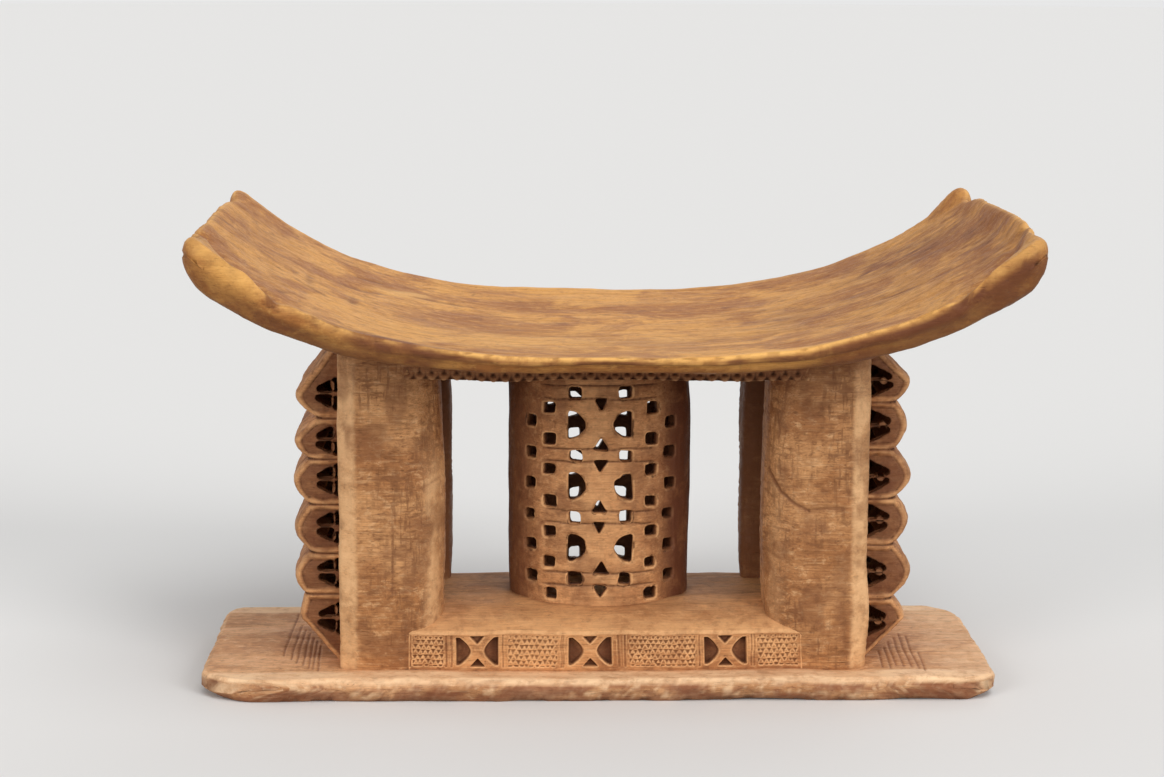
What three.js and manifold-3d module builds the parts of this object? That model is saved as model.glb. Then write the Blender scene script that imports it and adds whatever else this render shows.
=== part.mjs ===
// A carved wooden stool of the Ashanti kind: a crescent seat over four corner pillars, a pierced
// hollow column in the middle and a bowed, pierced screen at each side, on a raised plinth and a
// flat base plate. The real one is cut from a single log, so each mesh is one of its carved members.
// Millimetres, +Z up, +X along the seat. The origin is under the middle of the stool, on the ground.

import * as THREE from 'three';
import { mergeVertices } from 'three/addons/utils/BufferGeometryUtils.js';
import Module from 'manifold-3d';

const wasm = await Module();
wasm.setup();

// Gap between neighbouring members, and how far a cutter runs past what it cuts.
const memberGap = 0.3;
const overrun = 5;

// Seat: a plank that curves up to both ends, thin at its long edges and thick under the middle.
// Its arris is the upper edge of the long sides. A notch beside each corner leaves it as a lobe.
const seatLength = 514;
const seatDepth = 295;
const seatEndRise = 72;
const seatRisePower = 3;
const seatDish = 5;
const seatOffset = 2;
const seatEdgeThickness = 9.5;
const seatEndThickening = 17;
const seatBelly = 12;
const seatEdgeRound = 1.6;
const seatUndercut = 5;
const seatNotchDepth = 7;
const seatNotchShares = { centre: 0.78, spread: 0.14 };
const seatNoseLength = 9;
const seatNoseShare = 0.6;
const seatNoseSteps = 3;
const seatColumns = 28;
const seatRows = 14;

// Base plate, carved a little left of the seat's middle, and cut away under both ends.
const baseLength = 508;
const baseDepth = 180;
const baseThickness = 16;
const baseOffset = -5;
const baseCornerRadius = 30;
const baseCornerSteps = 6;
const baseArrisRound = 3;
const baseEndUndercut = 17;
const baseSideUndercut = 4;
const baseUndercutShare = 0.4;

// Stance: the rectangle that the four pillars fill, and the height from base plate to seat arris.
const stanceOffset = -2;
const stanceHalfWidth = 168.5;
const stanceHalfDepth = 70;
const stanceHeight = 215;

// Pillars. Each has a broad curved bevel on its inner front corner, and bulges inward at mid height.
const pillarWidth = 63.5;
const pillarDepth = 46;
const pillarChamfer = 6;
const pillarBevelWidth = 23;
const pillarBevelDepth = 20;
const pillarBevelSwell = 7;
const pillarSwell = 3;
const pillarRearRound = 6;
const rearPillarExtraLeft = 3;
const rearPillarExtraRight = 8;
const pillarCurveSteps = 4;
const pillarRows = 6;

// Plinth between the pillars, with a crowned top. Its ends reach part of the way over the bevels.
const plinthFrontHeight = 25;
const plinthCrown = 11;
const plinthCrownPower = 4;
const plinthRows = 16;
const bevelCoverShare = 0.87;

// Frieze on the front and back of the plinth: crossed motifs, each of four recesses round an X.
const friezeCentreShares = [-0.65, -0.07, 0.62];
const friezeMotifWidth = 27;
const friezeHeightShare = 0.76;
const friezeRecessDepth = 5;
const friezeCrossWidth = 5;
const friezeWaistShare = 0.45;

// Block under the seat that ties the tops of the pillars and the column.
const blockThickness = 6.5;

// Column: an elliptical tube, pierced in front and behind.
const columnOffset = -4;
const columnHalfWidth = 58;
const columnHalfDepth = 41;
const columnWall = 8;
const columnSwell = 1.5;
const columnSegments = 36;
const columnRows = 2;

// Stacked motifs on the column: two D-shaped eyes and two triangles leave an X of wood.
const motifCount = 3;
const motifTopMargin = 12.5;
const motifFootMargin = 16;
const motifHalfSpan = 20;
const eyeWidth = 10.5;
const eyeHeight = 17;
const triangleWidth = 9;
const triangleHeight = 8.5;
const triangleReach = 12.5;
const footTriangleDrop = 29;
const curveSegments = 5;

// Small square holes: above and below each motif, and in two staggered rows down each side.
const squareWidth = 8;
const squareHeight = 6;
const centreSquareShare = 0.28;
const innerSquareShare = 0.56;
const outerSquareShare = 0.76;
const innerSquareCount = 7;
const outerSquareCount = 6;

// Side screens: a wall that bows squarely out from pillar to pillar and tapers to them at its foot
// and top. It is ridged into lobes. Each has two openings in front, and two recesses behind.
const screenInset = 22;
const screenRoot = 10;
const screenBow = 18;
const screenEndBow = 1.5;
const screenSquareness = 6;
const screenWall = 8;
const screenSteps = 15;
const lobeCount = 6;
const lobeDepth = 8;
const lobeEndRun = 27;
const lobeTopMargin = 5;
const lobeRoundness = 2;
const lobeSteps = 6;
const openingReach = 14;
const openingHeight = 7.5;
const openingBar = 4.5;
const openingMargin = 1;
const rearOpeningDepth = 5;

// Heights and reaches that follow from the sizes above.
const seatHalfLength = seatLength / 2;
const seatHalfDepth = seatDepth / 2;
const seatArrisHeight = baseThickness + stanceHeight;
const stockTop = seatArris(stanceHalfWidth / seatHalfLength);
const footHeight = baseThickness + memberGap;
const plinthFrontTop = baseThickness + plinthFrontHeight;
const pillarInnerReach = stanceHalfWidth - pillarWidth;
const plinthHalfWidth = pillarInnerReach + pillarBevelWidth * bevelCoverShare;
const blockBottom = seatArrisHeight - seatEdgeThickness - seatBelly - blockThickness;
const motifRoom = blockBottom - motifTopMargin - motifFootMargin - plinthFrontTop - plinthCrown;
const motifPitch = motifRoom / motifCount;
const motifTop = blockBottom - motifTopMargin - motifPitch / 2;
const screenHalfDepth = stanceHalfDepth - screenInset;
const lowestLobe = baseThickness + lobeEndRun;
const highestLobe = blockBottom - lobeTopMargin;
const lobePitch = (highestLobe - lowestLobe) / (lobeCount - 1);

// Colours and finish of the carved wood.
const wood = {
  seat: { color: 0xb5854f, roughness: 0.52 },
  carved: { color: 0xa87a4a, roughness: 0.66 },
  pillar: { color: 0xb28450, roughness: 0.6 },
  base: { color: 0xb68a58, roughness: 0.62 },
};

// Triangles over a flat outline, in the outline's own direction.
function outlineFaces(ring, [across, up]) {
  const outline = ring.map((point) => new THREE.Vector2(point[across], point[up]));
  const faces = THREE.ShapeUtils.triangulateShape(outline, []);
  return THREE.ShapeUtils.isClockWise(outline) ? faces.map(([a, b, c]) => [a, c, b]) : faces;
}

// Triangles in a strip between the two halves of an outline, in the outline's own direction.
function stripFaces(count) {
  return steps(count / 2 - 1).slice(1).flatMap((_, step) => {
    const opposite = count - 1 - step;
    return [[step, step + 1, opposite], [step + 1, opposite - 1, opposite]];
  });
}

// A closed skin through rings of equally many points. Its ends are closed across the two axes named,
// or by a strip where none are.
function loft(rings, capAxes) {
  const count = rings[0].length;
  const positions = rings.flat().flatMap((point) => point.toArray());
  const index = [];
  for (let ring = 0; ring + 1 < rings.length; ring += 1) {
    for (let step = 0; step < count; step += 1) {
      const here = ring * count + step;
      const next = ring * count + ((step + 1) % count);
      index.push(here, next, next + count, here, next + count, here + count);
    }
  }
  const capFaces = (ring) => (capAxes ? outlineFaces(ring, capAxes) : stripFaces(count));
  const last = (rings.length - 1) * count;
  capFaces(rings[0]).forEach(([a, b, c]) => index.push(a, c, b));
  capFaces(rings.at(-1)).forEach((face) => index.push(...face.map((corner) => last + corner)));
  const geometry = new THREE.BufferGeometry();
  geometry.setAttribute('position', new THREE.Float32BufferAttribute(positions, 3));
  geometry.setIndex(index);
  return geometry;
}

// Any closed geometry as a solid that can be joined and cut, with its faces turned outward.
function solid(geometry) {
  const bare = geometry.clone();
  bare.deleteAttribute('normal');
  bare.deleteAttribute('uv');
  const merged = mergeVertices(bare);
  const triVerts = new Uint32Array(merged.index.array);
  const vertProperties = new Float32Array(merged.attributes.position.array);
  if (signedVolume(vertProperties, triVerts) < 0) {
    for (let corner = 0; corner < triVerts.length; corner += 3) {
      [triVerts[corner], triVerts[corner + 1]] = [triVerts[corner + 1], triVerts[corner]];
    }
  }
  return new wasm.Manifold(new wasm.Mesh({ numProp: 3, vertProperties, triVerts }));
}

function signedVolume(positions, index) {
  const corner = (place) => new THREE.Vector3().fromArray(positions, index[place] * 3);
  let volume = 0;
  for (let place = 0; place < index.length; place += 3) {
    volume += corner(place).dot(corner(place + 1).cross(corner(place + 2)));
  }
  return volume;
}

// A named mesh of a solid, in a finish of its own.
function member(name, body, finish) {
  const { vertProperties, triVerts } = body.getMesh();
  const geometry = new THREE.BufferGeometry();
  geometry.setAttribute('position', new THREE.BufferAttribute(vertProperties, 3));
  geometry.setIndex(new THREE.BufferAttribute(triVerts, 1));
  geometry.computeVertexNormals();
  const mesh = new THREE.Mesh(geometry, new THREE.MeshStandardMaterial({ metalness: 0, ...finish }));
  mesh.name = name;
  return mesh;
}

// A flat shape pushed from a start to an end depth, facing along the given heading about Z. The
// shape's own X runs to the right of the heading's viewer, and its Y runs up.
function pushedShape(shape, place, heading, inward, outward) {
  const geometry = new THREE.ExtrudeGeometry(shape, {
    depth: inward + outward,
    bevelEnabled: false,
    curveSegments,
  });
  geometry.translate(0, 0, -inward);
  geometry.rotateX(Math.PI / 2);
  geometry.rotateZ(heading);
  geometry.translate(...place);
  return solid(geometry);
}

function steps(count) {
  return Array.from({ length: count + 1 }, (_, step) => step / count);
}

function polygon(points) {
  return new THREE.Shape(points.map(([x, y]) => new THREE.Vector2(x, y)));
}

function rectangle(width, height) {
  return polygon([
    [-width / 2, -height / 2],
    [width / 2, -height / 2],
    [width / 2, height / 2],
    [-width / 2, height / 2],
  ]);
}

// Seat surfaces. Along runs from -1 to 1 over the length and across from -1 to 1 over the depth.
function seatArris(along) {
  return seatArrisHeight + seatEndRise * Math.abs(along) ** seatRisePower;
}

function seatTop(along, across) {
  return seatArris(along) - seatDish * (1 - along ** 2) * (1 - across ** 2);
}

function seatUnderside(along, across) {
  const edge = seatEdgeThickness + seatEndThickening * along ** 2;
  return seatArris(along) - edge - seatBelly * (1 - across ** 2);
}

// Half the seat's length at a place across it, less in the notches.
function seatReach(across) {
  const { centre, spread } = seatNotchShares;
  return seatHalfLength - seatNotchDepth * Math.exp(-(((Math.abs(across) - centre) / spread) ** 2));
}

// How much of the thickness is left at a place along the seat, so that its ends are rounded.
function seatFullness(along) {
  const fromEnd = (1 - Math.abs(along)) * seatHalfLength;
  const intoNose = Math.max(0, 1 - fromEnd / seatNoseLength);
  return THREE.MathUtils.lerp(1, seatNoseShare, intoNose ** 2);
}

function seatStations() {
  const noseStart = 1 - seatNoseLength / seatHalfLength;
  const middle = steps(seatColumns).map((share) => noseStart * (2 * share - 1));
  const nose = steps(seatNoseSteps).slice(1).map((share) => THREE.MathUtils.lerp(noseStart, 1, share));
  return [...nose.map((along) => -along).reverse(), ...middle, ...nose];
}

function seatRing(along, below, above) {
  const fullness = seatFullness(along);
  const rows = steps(seatRows).map((share) => 2 * share - 1);
  const point = (across, y, share) => {
    const top = seatTop(along, across) + above;
    const under = seatUnderside(along, across) - below;
    const middle = (top + under) / 2;
    const z = middle + (THREE.MathUtils.lerp(under, top, share) - middle) * fullness;
    return new THREE.Vector3(seatOffset + along * seatReach(across), y, z);
  };
  const topHalf = seatHalfDepth - seatEdgeRound;
  const underHalf = seatHalfDepth - seatUndercut;
  return [
    ...rows.map((across) => point(across, across * topHalf, 1)),
    point(1, seatHalfDepth, 1 / 2),
    ...rows.map((across) => point(-across, -across * underHalf, 0)),
    point(-1, -seatHalfDepth, 1 / 2),
  ];
}

function seatSolid() {
  return solid(loft(seatStations().map((along) => seatRing(along, 0, 0)), ['y', 'z']));
}

// Everything above the seat's underside, lowered by the gap, to end what stands below it.
function seatHeadroom() {
  const straight = steps(seatColumns).map((share) => 2 * share - 1);
  return solid(loft(straight.map((along) => seatRing(along, memberGap, seatEndRise)), ['y', 'z']));
}

// Base plate: rings of one rounded rectangle, inset at the arrises and most under the two ends.
function baseRing(height, endInset, sideInset) {
  const halfLength = baseLength / 2 - endInset;
  const halfDepth = baseDepth / 2 - sideInset;
  const points = [];
  for (const [signX, signY] of [[1, 1], [-1, 1], [-1, -1], [1, -1]]) {
    for (const share of steps(baseCornerSteps)) {
      const turn = signX * signY > 0 ? share : 1 - share;
      const angle = turn * Math.PI / 2;
      const x = signX * (halfLength - baseCornerRadius * (1 - Math.cos(angle)));
      const y = signY * (halfDepth - baseCornerRadius * (1 - Math.sin(angle)));
      points.push(new THREE.Vector3(baseOffset + x, y, height));
    }
  }
  return points;
}

function baseSolid() {
  const undercutTop = baseThickness * baseUndercutShare;
  return solid(loft([
    baseRing(0, baseEndUndercut, baseSideUndercut),
    baseRing(undercutTop / 2, baseEndUndercut / 3, baseSideUndercut / 3),
    baseRing(undercutTop, 0, 0),
    baseRing(baseThickness - baseArrisRound, 0, 0),
    baseRing(baseThickness - baseArrisRound / 3, baseArrisRound / 3, baseArrisRound / 3),
    baseRing(baseThickness, baseArrisRound, baseArrisRound),
  ], ['x', 'y']));
}

// A pillar's plan at one height, for the corner it stands at, grown by a margin all round.
function pillarRing(height, { side, end, extra }, margin) {
  const heightShare = (height - baseThickness) / (blockBottom - baseThickness);
  const swell = pillarSwell * Math.max(0, 1 - (2 * heightShare - 1) ** 2);
  const outer = stanceHalfWidth + margin;
  const inner = pillarInnerReach - extra - swell - margin;
  const front = stanceHalfDepth + margin;
  const rear = stanceHalfDepth - pillarDepth - margin;
  const bevelWidth = pillarBevelWidth;
  const plan = new THREE.Shape();
  plan.moveTo(outer, rear + pillarRearRound);
  plan.lineTo(outer, front - pillarChamfer);
  plan.lineTo(outer - pillarChamfer, front);
  plan.lineTo(inner + bevelWidth, front);
  plan.quadraticCurveTo(
    inner + bevelWidth / 2 - pillarBevelSwell,
    front - pillarBevelDepth / 2 + pillarBevelSwell,
    inner,
    front - pillarBevelDepth,
  );
  plan.lineTo(inner, rear + pillarRearRound);
  plan.quadraticCurveTo(inner, rear, inner + pillarRearRound, rear);
  plan.lineTo(outer - pillarRearRound, rear);
  plan.quadraticCurveTo(outer, rear, outer, rear + pillarRearRound);
  const points = plan.getPoints(pillarCurveSteps).slice(0, -1);
  return points.map(({ x, y }) => new THREE.Vector3(stanceOffset + side * x, -end * y, height));
}

function pillarStock(corner, margin, bottom) {
  const heights = steps(pillarRows).map((share) => THREE.MathUtils.lerp(bottom, stockTop, share));
  return solid(loft(heights.map((height) => pillarRing(height, corner, margin)), ['x', 'y']));
}

// Corners of the stance: side -1 is left and +1 right, end +1 is the front and -1 the rear. The
// rear pillars reach further in by their extra.
const corners = [
  { name: 'pillar_front_left', side: -1, end: 1, extra: 0 },
  { name: 'pillar_front_right', side: 1, end: 1, extra: 0 },
  { name: 'pillar_rear_left', side: -1, end: -1, extra: rearPillarExtraLeft },
  { name: 'pillar_rear_right', side: 1, end: -1, extra: rearPillarExtraRight },
];

function pillarSolid(corner) {
  return pillarStock(corner, 0, footHeight).subtract(seatHeadroom());
}

function withoutPillars(body) {
  const room = corners.map((corner) => pillarStock(corner, memberGap, 0));
  return room.reduce((left, cutter) => left.subtract(cutter), body);
}

// Plinth: one section from front to back, the same all along.
function plinthRing(x, lift) {
  const rows = steps(plinthRows).map((share) => 2 * share - 1);
  const top = rows.map((across) => {
    const height = plinthFrontTop + plinthCrown * (1 - Math.abs(across) ** plinthCrownPower);
    return new THREE.Vector3(x, across * stanceHalfDepth, height + lift);
  });
  return [
    new THREE.Vector3(x, -stanceHalfDepth, footHeight),
    ...top,
    new THREE.Vector3(x, stanceHalfDepth, footHeight),
  ];
}

function plinthStock(lift) {
  const stations = [-plinthHalfWidth, plinthHalfWidth].map((x) => plinthRing(stanceOffset + x, lift));
  return solid(loft(stations, ['y', 'z']));
}

// The four recesses of one crossed motif, in a frame as wide and high as given.
function crossRecesses(width, height) {
  const halfWidth = width / 2;
  const halfHeight = height / 2;
  const bar = friezeCrossWidth / 2;
  const recesses = [];
  for (const side of [-1, 1]) {
    const eye = new THREE.Shape();
    eye.moveTo(side * halfWidth, halfHeight - bar);
    eye.quadraticCurveTo(
      side * bar * friezeWaistShare,
      0,
      side * halfWidth,
      bar - halfHeight,
    );
    recesses.push(eye);
    recesses.push(polygon([
      [-halfWidth * friezeWaistShare, side * halfHeight],
      [halfWidth * friezeWaistShare, side * halfHeight],
      [0, side * bar],
    ]));
  }
  return recesses;
}

function plinthSolid() {
  let body = withoutPillars(plinthStock(0));
  const middle = baseThickness + plinthFrontHeight / 2;
  for (const heading of [0, Math.PI]) {
    for (const share of friezeCentreShares) {
      const x = stanceOffset + Math.cos(heading) * share * plinthHalfWidth;
      const y = -Math.cos(heading) * stanceHalfDepth;
      for (const recess of crossRecesses(friezeMotifWidth, plinthFrontHeight * friezeHeightShare)) {
        const place = [x, y, middle];
        body = body.subtract(pushedShape(recess, place, heading, friezeRecessDepth, overrun));
      }
    }
  }
  return body;
}

// Block under the seat: a slab between the pillars, ended above by the seat's underside.
function blockSolid() {
  const ring = (x) => [
    new THREE.Vector3(x, -stanceHalfDepth, blockBottom),
    new THREE.Vector3(x, -stanceHalfDepth, stockTop),
    new THREE.Vector3(x, stanceHalfDepth, stockTop),
    new THREE.Vector3(x, stanceHalfDepth, blockBottom),
  ];
  const ends = [-plinthHalfWidth, plinthHalfWidth].map((x) => ring(stanceOffset + x));
  const stock = solid(loft(ends, ['y', 'z']));
  return withoutPillars(stock).subtract(seatHeadroom());
}

// Column: an elliptical shell, swollen a little at mid height.
function columnShell(inset, bottom, top) {
  const rings = steps(columnRows).map((share) => {
    const swell = columnSwell * (1 - (2 * share - 1) ** 2) - inset;
    const height = THREE.MathUtils.lerp(bottom, top, share);
    return steps(columnSegments).slice(1).map((turn) => new THREE.Vector3(
      columnOffset + (columnHalfWidth + swell) * Math.cos(turn * 2 * Math.PI),
      (columnHalfDepth + swell) * Math.sin(turn * 2 * Math.PI),
      height,
    ));
  });
  return solid(loft(rings, ['x', 'y']));
}

// Place and heading of a hole on the column's front, at a share of its half width to the right.
function columnPlace(reachShare, height) {
  const angle = Math.asin(reachShare);
  const heading = Math.atan2(columnHalfDepth * Math.sin(angle), columnHalfWidth * Math.cos(angle));
  return { x: columnHalfWidth * reachShare, y: -columnHalfDepth * Math.cos(angle), z: height, heading };
}

function eyeShape(side) {
  const halfHeight = eyeHeight / 2;
  const shape = new THREE.Shape();
  shape.moveTo(side * motifHalfSpan, halfHeight);
  shape.quadraticCurveTo(side * (motifHalfSpan - 2 * eyeWidth), 0, side * motifHalfSpan, -halfHeight);
  return shape;
}

function triangleShape(up, offset) {
  const half = triangleHeight / 2;
  return polygon([
    [-triangleWidth / 2, offset - up * half],
    [triangleWidth / 2, offset - up * half],
    [0, offset + up * half],
  ]);
}

// Every hole on the front of the column: what shape, and where.
function columnHoles() {
  const square = rectangle(squareWidth, squareHeight);
  const holes = [];
  for (let motif = 0; motif < motifCount; motif += 1) {
    const place = columnPlace(0, motifTop - motif * motifPitch);
    holes.push({ shape: eyeShape(-1), ...place });
    holes.push({ shape: eyeShape(1), ...place });
    holes.push({ shape: triangleShape(-1, triangleReach), ...place });
    holes.push({ shape: triangleShape(1, -triangleReach), ...place });
  }
  const footTriangle = motifTop - (motifCount - 1) * motifPitch - footTriangleDrop;
  holes.push({ shape: triangleShape(-1, 0), ...columnPlace(0, footTriangle) });
  for (const side of [-1, 1]) {
    for (let gap = 0; gap <= motifCount; gap += 1) {
      const height = motifTop + motifPitch / 2 - gap * motifPitch;
      holes.push({ shape: square, ...columnPlace(side * centreSquareShare, height) });
    }
    for (let row = 0; row < innerSquareCount; row += 1) {
      const height = motifTop + motifPitch / 4 - row * motifPitch / 2;
      holes.push({ shape: square, ...columnPlace(side * innerSquareShare, height) });
    }
    for (let row = 0; row < outerSquareCount; row += 1) {
      const height = motifTop - row * motifPitch / 2;
      holes.push({ shape: square, ...columnPlace(side * outerSquareShare, height) });
    }
  }
  return holes;
}

function columnSolid() {
  const top = blockBottom - memberGap;
  let body = columnShell(0, plinthFrontTop, top);
  body = body.subtract(columnShell(columnWall, plinthFrontTop - overrun, top + overrun));
  for (const hole of columnHoles()) {
    for (const face of [0, Math.PI]) {
      const flip = Math.cos(face);
      const place = [columnOffset + flip * hole.x, flip * hole.y, hole.z];
      const inward = 2 * columnWall;
      body = body.subtract(pushedShape(hole.shape, place, hole.heading + face, inward, overrun));
    }
  }
  return body.subtract(plinthStock(memberGap));
}

// Side screens. How far the wall bows out at a height: most on each lobe's ridge, less in the
// creases between them, and tapering off below the lowest lobe and above the highest.
function screenBowAt(height) {
  const past = Math.max(lowestLobe - height, height - highestLobe, 0) / lobeEndRun;
  if (past > 0) {
    return THREE.MathUtils.lerp(screenBow + lobeDepth, screenEndBow, Math.min(past, 1));
  }
  const turns = (height - lowestLobe) / lobePitch;
  const fromRidge = 2 * Math.abs(turns - Math.round(turns));
  return screenBow + lobeDepth * (1 - fromRidge ** lobeRoundness);
}

// A place on the wall at a turn from 0 at the front pillar to 1 at the rear one, and at a depth.
function screenPlace(side, turn, depth, height) {
  const square = (value) => Math.sign(value) * Math.abs(value) ** (2 / screenSquareness);
  const bow = screenRoot + screenBowAt(height) - depth;
  const out = stanceHalfWidth - screenRoot + bow * square(Math.sin(Math.PI * turn));
  const y = (depth - screenHalfDepth) * square(Math.cos(Math.PI * turn));
  return new THREE.Vector3(stanceOffset + side * out, y, height);
}

function screenRing(side, turn) {
  const waves = steps((lobeCount - 1) * lobeSteps);
  const onLobes = waves.map((share) => THREE.MathUtils.lerp(lowestLobe, highestLobe, share));
  const heights = [footHeight, ...onLobes, highestLobe + lobeEndRun, stockTop];
  const wall = (depth) => heights.map((height) => screenPlace(side, turn, depth, height));
  return [...wall(0), ...wall(screenWall).reverse()];
}

// A triangular opening beside a lobe's ridge: broad at the pillar, pointed away from it.
function screenOpening(side, above) {
  const broad = side * openingMargin;
  const tip = side * (openingMargin + openingReach);
  return polygon([
    [broad, above * openingBar / 2],
    [tip, above * openingBar / 2],
    [broad, above * (openingBar / 2 + openingHeight)],
  ]);
}

function screenSolid(side) {
  let body = solid(loft(steps(screenSteps).map((turn) => screenRing(side, turn))));
  for (let lobe = 0; lobe < lobeCount; lobe += 1) {
    const height = lowestLobe + lobe * lobePitch;
    for (const [end, heading, inward] of [[1, 0, 2 * screenWall], [-1, Math.PI, rearOpeningDepth]]) {
      for (const above of [-1, 1]) {
        const place = [stanceOffset + side * stanceHalfWidth, -end * screenHalfDepth, height];
        const shape = screenOpening(side * end, above);
        body = body.subtract(pushedShape(shape, place, heading, inward, overrun));
      }
    }
  }
  return withoutPillars(body).subtract(seatHeadroom());
}

const stool = new THREE.Group();
stool.add(member('base_plate', baseSolid(), wood.base));
stool.add(member('plinth', plinthSolid(), wood.carved));
for (const corner of corners) {
  stool.add(member(corner.name, pillarSolid(corner), wood.pillar));
}
stool.add(member('central_column', columnSolid(), wood.carved));
stool.add(member('side_screen_left', screenSolid(-1), wood.carved));
stool.add(member('side_screen_right', screenSolid(1), wood.carved));
stool.add(member('under_seat_block', blockSolid(), wood.carved));
stool.add(member('seat', seatSolid(), wood.seat));

export default stool;
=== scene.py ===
"""A carved wooden stool of the Ashanti kind, dressed for a picture. It is cut from one log."""

import math

import bpy
import numpy as np
from mathutils import Matrix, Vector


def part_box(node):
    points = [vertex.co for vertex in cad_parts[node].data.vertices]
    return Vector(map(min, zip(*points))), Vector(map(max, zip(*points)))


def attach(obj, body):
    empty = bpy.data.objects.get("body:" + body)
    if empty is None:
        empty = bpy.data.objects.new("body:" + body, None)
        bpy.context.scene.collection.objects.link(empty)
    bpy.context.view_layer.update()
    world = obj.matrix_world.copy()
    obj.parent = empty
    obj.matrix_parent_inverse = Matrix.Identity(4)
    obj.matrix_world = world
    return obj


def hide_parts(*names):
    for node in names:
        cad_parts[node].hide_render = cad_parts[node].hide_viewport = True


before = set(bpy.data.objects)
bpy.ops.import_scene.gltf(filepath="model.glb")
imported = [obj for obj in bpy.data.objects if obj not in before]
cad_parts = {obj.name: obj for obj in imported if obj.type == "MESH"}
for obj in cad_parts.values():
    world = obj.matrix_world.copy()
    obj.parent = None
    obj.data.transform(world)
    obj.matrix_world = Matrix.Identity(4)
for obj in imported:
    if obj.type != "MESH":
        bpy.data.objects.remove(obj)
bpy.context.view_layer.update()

# Lengths are millimetres in this script, and MM of them make one of Blender's metres.
MM = 1000.0


def node_box(node):
    """Lowest and highest corner of a node, in millimetres."""
    low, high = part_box(node)
    return np.array(low) * MM, np.array(high) * MM


def middle_and_half(low, high):
    """Middle and half length along X of the space from one corner to another."""
    return (low[0] + high[0]) / 2, (high[0] - low[0]) / 2


# Sizes read from the frame.
seat_low, seat_high = node_box("seat")
base_low, base_high = node_box("base_plate")
plinth_low, plinth_high = node_box("plinth")
block_low, block_high = node_box("under_seat_block")
seat_x, seat_reach = middle_and_half(seat_low, seat_high)
base_x, base_reach = middle_and_half(base_low, base_high)
column_x, _ = middle_and_half(*node_box("central_column"))
stance_x, stance_reach = middle_and_half(
    node_box("pillar_front_left")[0], node_box("pillar_front_right")[1]
)
seat_side = seat_high[1]
base_side = base_high[1]
base_top = base_high[2]
stance_side = plinth_high[1]
block_bottom = block_low[2]

# Seat: the height of its arris over the base plate in the middle, the rise to its ends, its dish,
# and its thickness at the edge, the ends and the middle.
STANCE_HEIGHT = 215.0
SEAT_RISE = 72.0
SEAT_RISE_POWER = 3
SEAT_DISH = 5.0
SEAT_EDGE = 9.5
SEAT_END_EXTRA = 17.0
SEAT_BELLY = 12.0
seat_arris = base_top + STANCE_HEIGHT

# The seat's ends in plan: a notch beside each corner, shallower at the far ones, the radii of the
# near and far corners, the roundness of the ends, and how far they go past the solid's middle.
SEAT_NOTCH = 7.0
SEAT_NOTCH_AT = 0.78
SEAT_NOTCH_SPREAD = 0.14
SEAT_FAR_NOTCH_SHARE = 0.5
SEAT_CORNER = 15.0
SEAT_FAR_CORNER = 7.0
SEAT_NOSE = 12.0
SEAT_OVERRUN = 3.5

# Pillars: plan sizes, the bevel on the inner front corner, and the swell at mid height.
PILLAR_WIDTH = 63.5
PILLAR_DEPTH = 46.0
PILLAR_CHAMFER = 5.0
PILLAR_CHAMFER_WIDTH = 11.0
PILLAR_BEVEL_WIDTH = 23.0
PILLAR_BEVEL_DEPTH = 20.0
PILLAR_BEVEL_SWELL = 7.0
PILLAR_SWELL = 3.0
PILLAR_REAR_ROUND = 6.0
pillar_inner = stance_reach - PILLAR_WIDTH

# Plinth.
PLINTH_FRONT = 25.0
PLINTH_CROWN = 11.0
PLINTH_CROWN_POWER = 4
plinth_front_top = base_top + PLINTH_FRONT

# Side screens: a wall that bows squarely out from pillar to pillar and is ridged into lobes. The
# ridges and the creases between them are heights, with their reach beyond the pillars, and the
# roundness of a lobe is given below and above its ridge. Each is for the left and the right.
SCREEN_SQUARENESS = 10.0
SCREEN_WALL = 8.0
SCREEN_INSET = 22.0
SCREEN_ROOT = 10.0
SCREEN_END_REACH = 1.5
SCREEN_END = 225.0
LOBE_ROUNDNESS = {-1: (2.2, 1.35), 1: (2.0, 1.6)}
RIDGES = {
    -1: [(44.4, 27.5), (74.5, 30.2), (104.0, 30.2), (134.8, 31.0), (161.0, 29.3), (190.5, 28.3)],
    1: [(41.9, 28.0), (74.0, 31.2), (108.5, 29.0), (137.0, 29.8), (170.0, 26.0), (199.5, 27.8)],
}
CREASES = {
    -1: [(60.5, 24.0), (87.5, 19.5), (118.7, 20.4), (148.5, 20.5), (175.0, 14.0)],
    1: [(56.0, 18.5), (92.5, 19.3), (123.0, 19.5), (154.5, 18.7), (185.7, 18.8)],
}
screen_side = stance_side - SCREEN_INSET

# Column: an elliptical tube with three stacked motifs.
COLUMN_HALF_WIDTH = 58.0
COLUMN_HALF_DEPTH = 41.0
COLUMN_WALL = 8.0
COLUMN_SWELL = 1.5
MOTIFS = 3
MOTIF_TOP_MARGIN = 12.5
MOTIF_FOOT_MARGIN = 16.0
motif_room = block_bottom - MOTIF_TOP_MARGIN - MOTIF_FOOT_MARGIN - plinth_front_top - PLINTH_CROWN
motif_pitch = motif_room / MOTIFS
motif_top = block_bottom - MOTIF_TOP_MARGIN - motif_pitch / 2

# How far a member runs into the one that it grows out of.
ROOT = 2.5

# Every line wanders a little, as a hand carves it: how far, over what length, and the seeds.
WOBBLE = 0.7
WOBBLE_SIZE = 42.0
WOBBLE_SEEDS = (11, 12, 13)

# Noise: how much lighter and finer each octave is than the one before, how far the lattice moves
# with each seed, the gain that brings the noise near 1, and the numbers that turn a lattice cell
# and a seed into a value that looks random.
OCTAVE_WEIGHT = 0.55
OCTAVE_SIZE = 2.03
SEED_SHIFT = (17.31, 5.77, 31.13)
NOISE_GAIN = 1.6
CELL_FACTORS = (73856093, 19349663, 83492791)
SEED_FACTOR = 2654435761
MIXERS = ((13, 1274126177), (15, 668265263))


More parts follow.
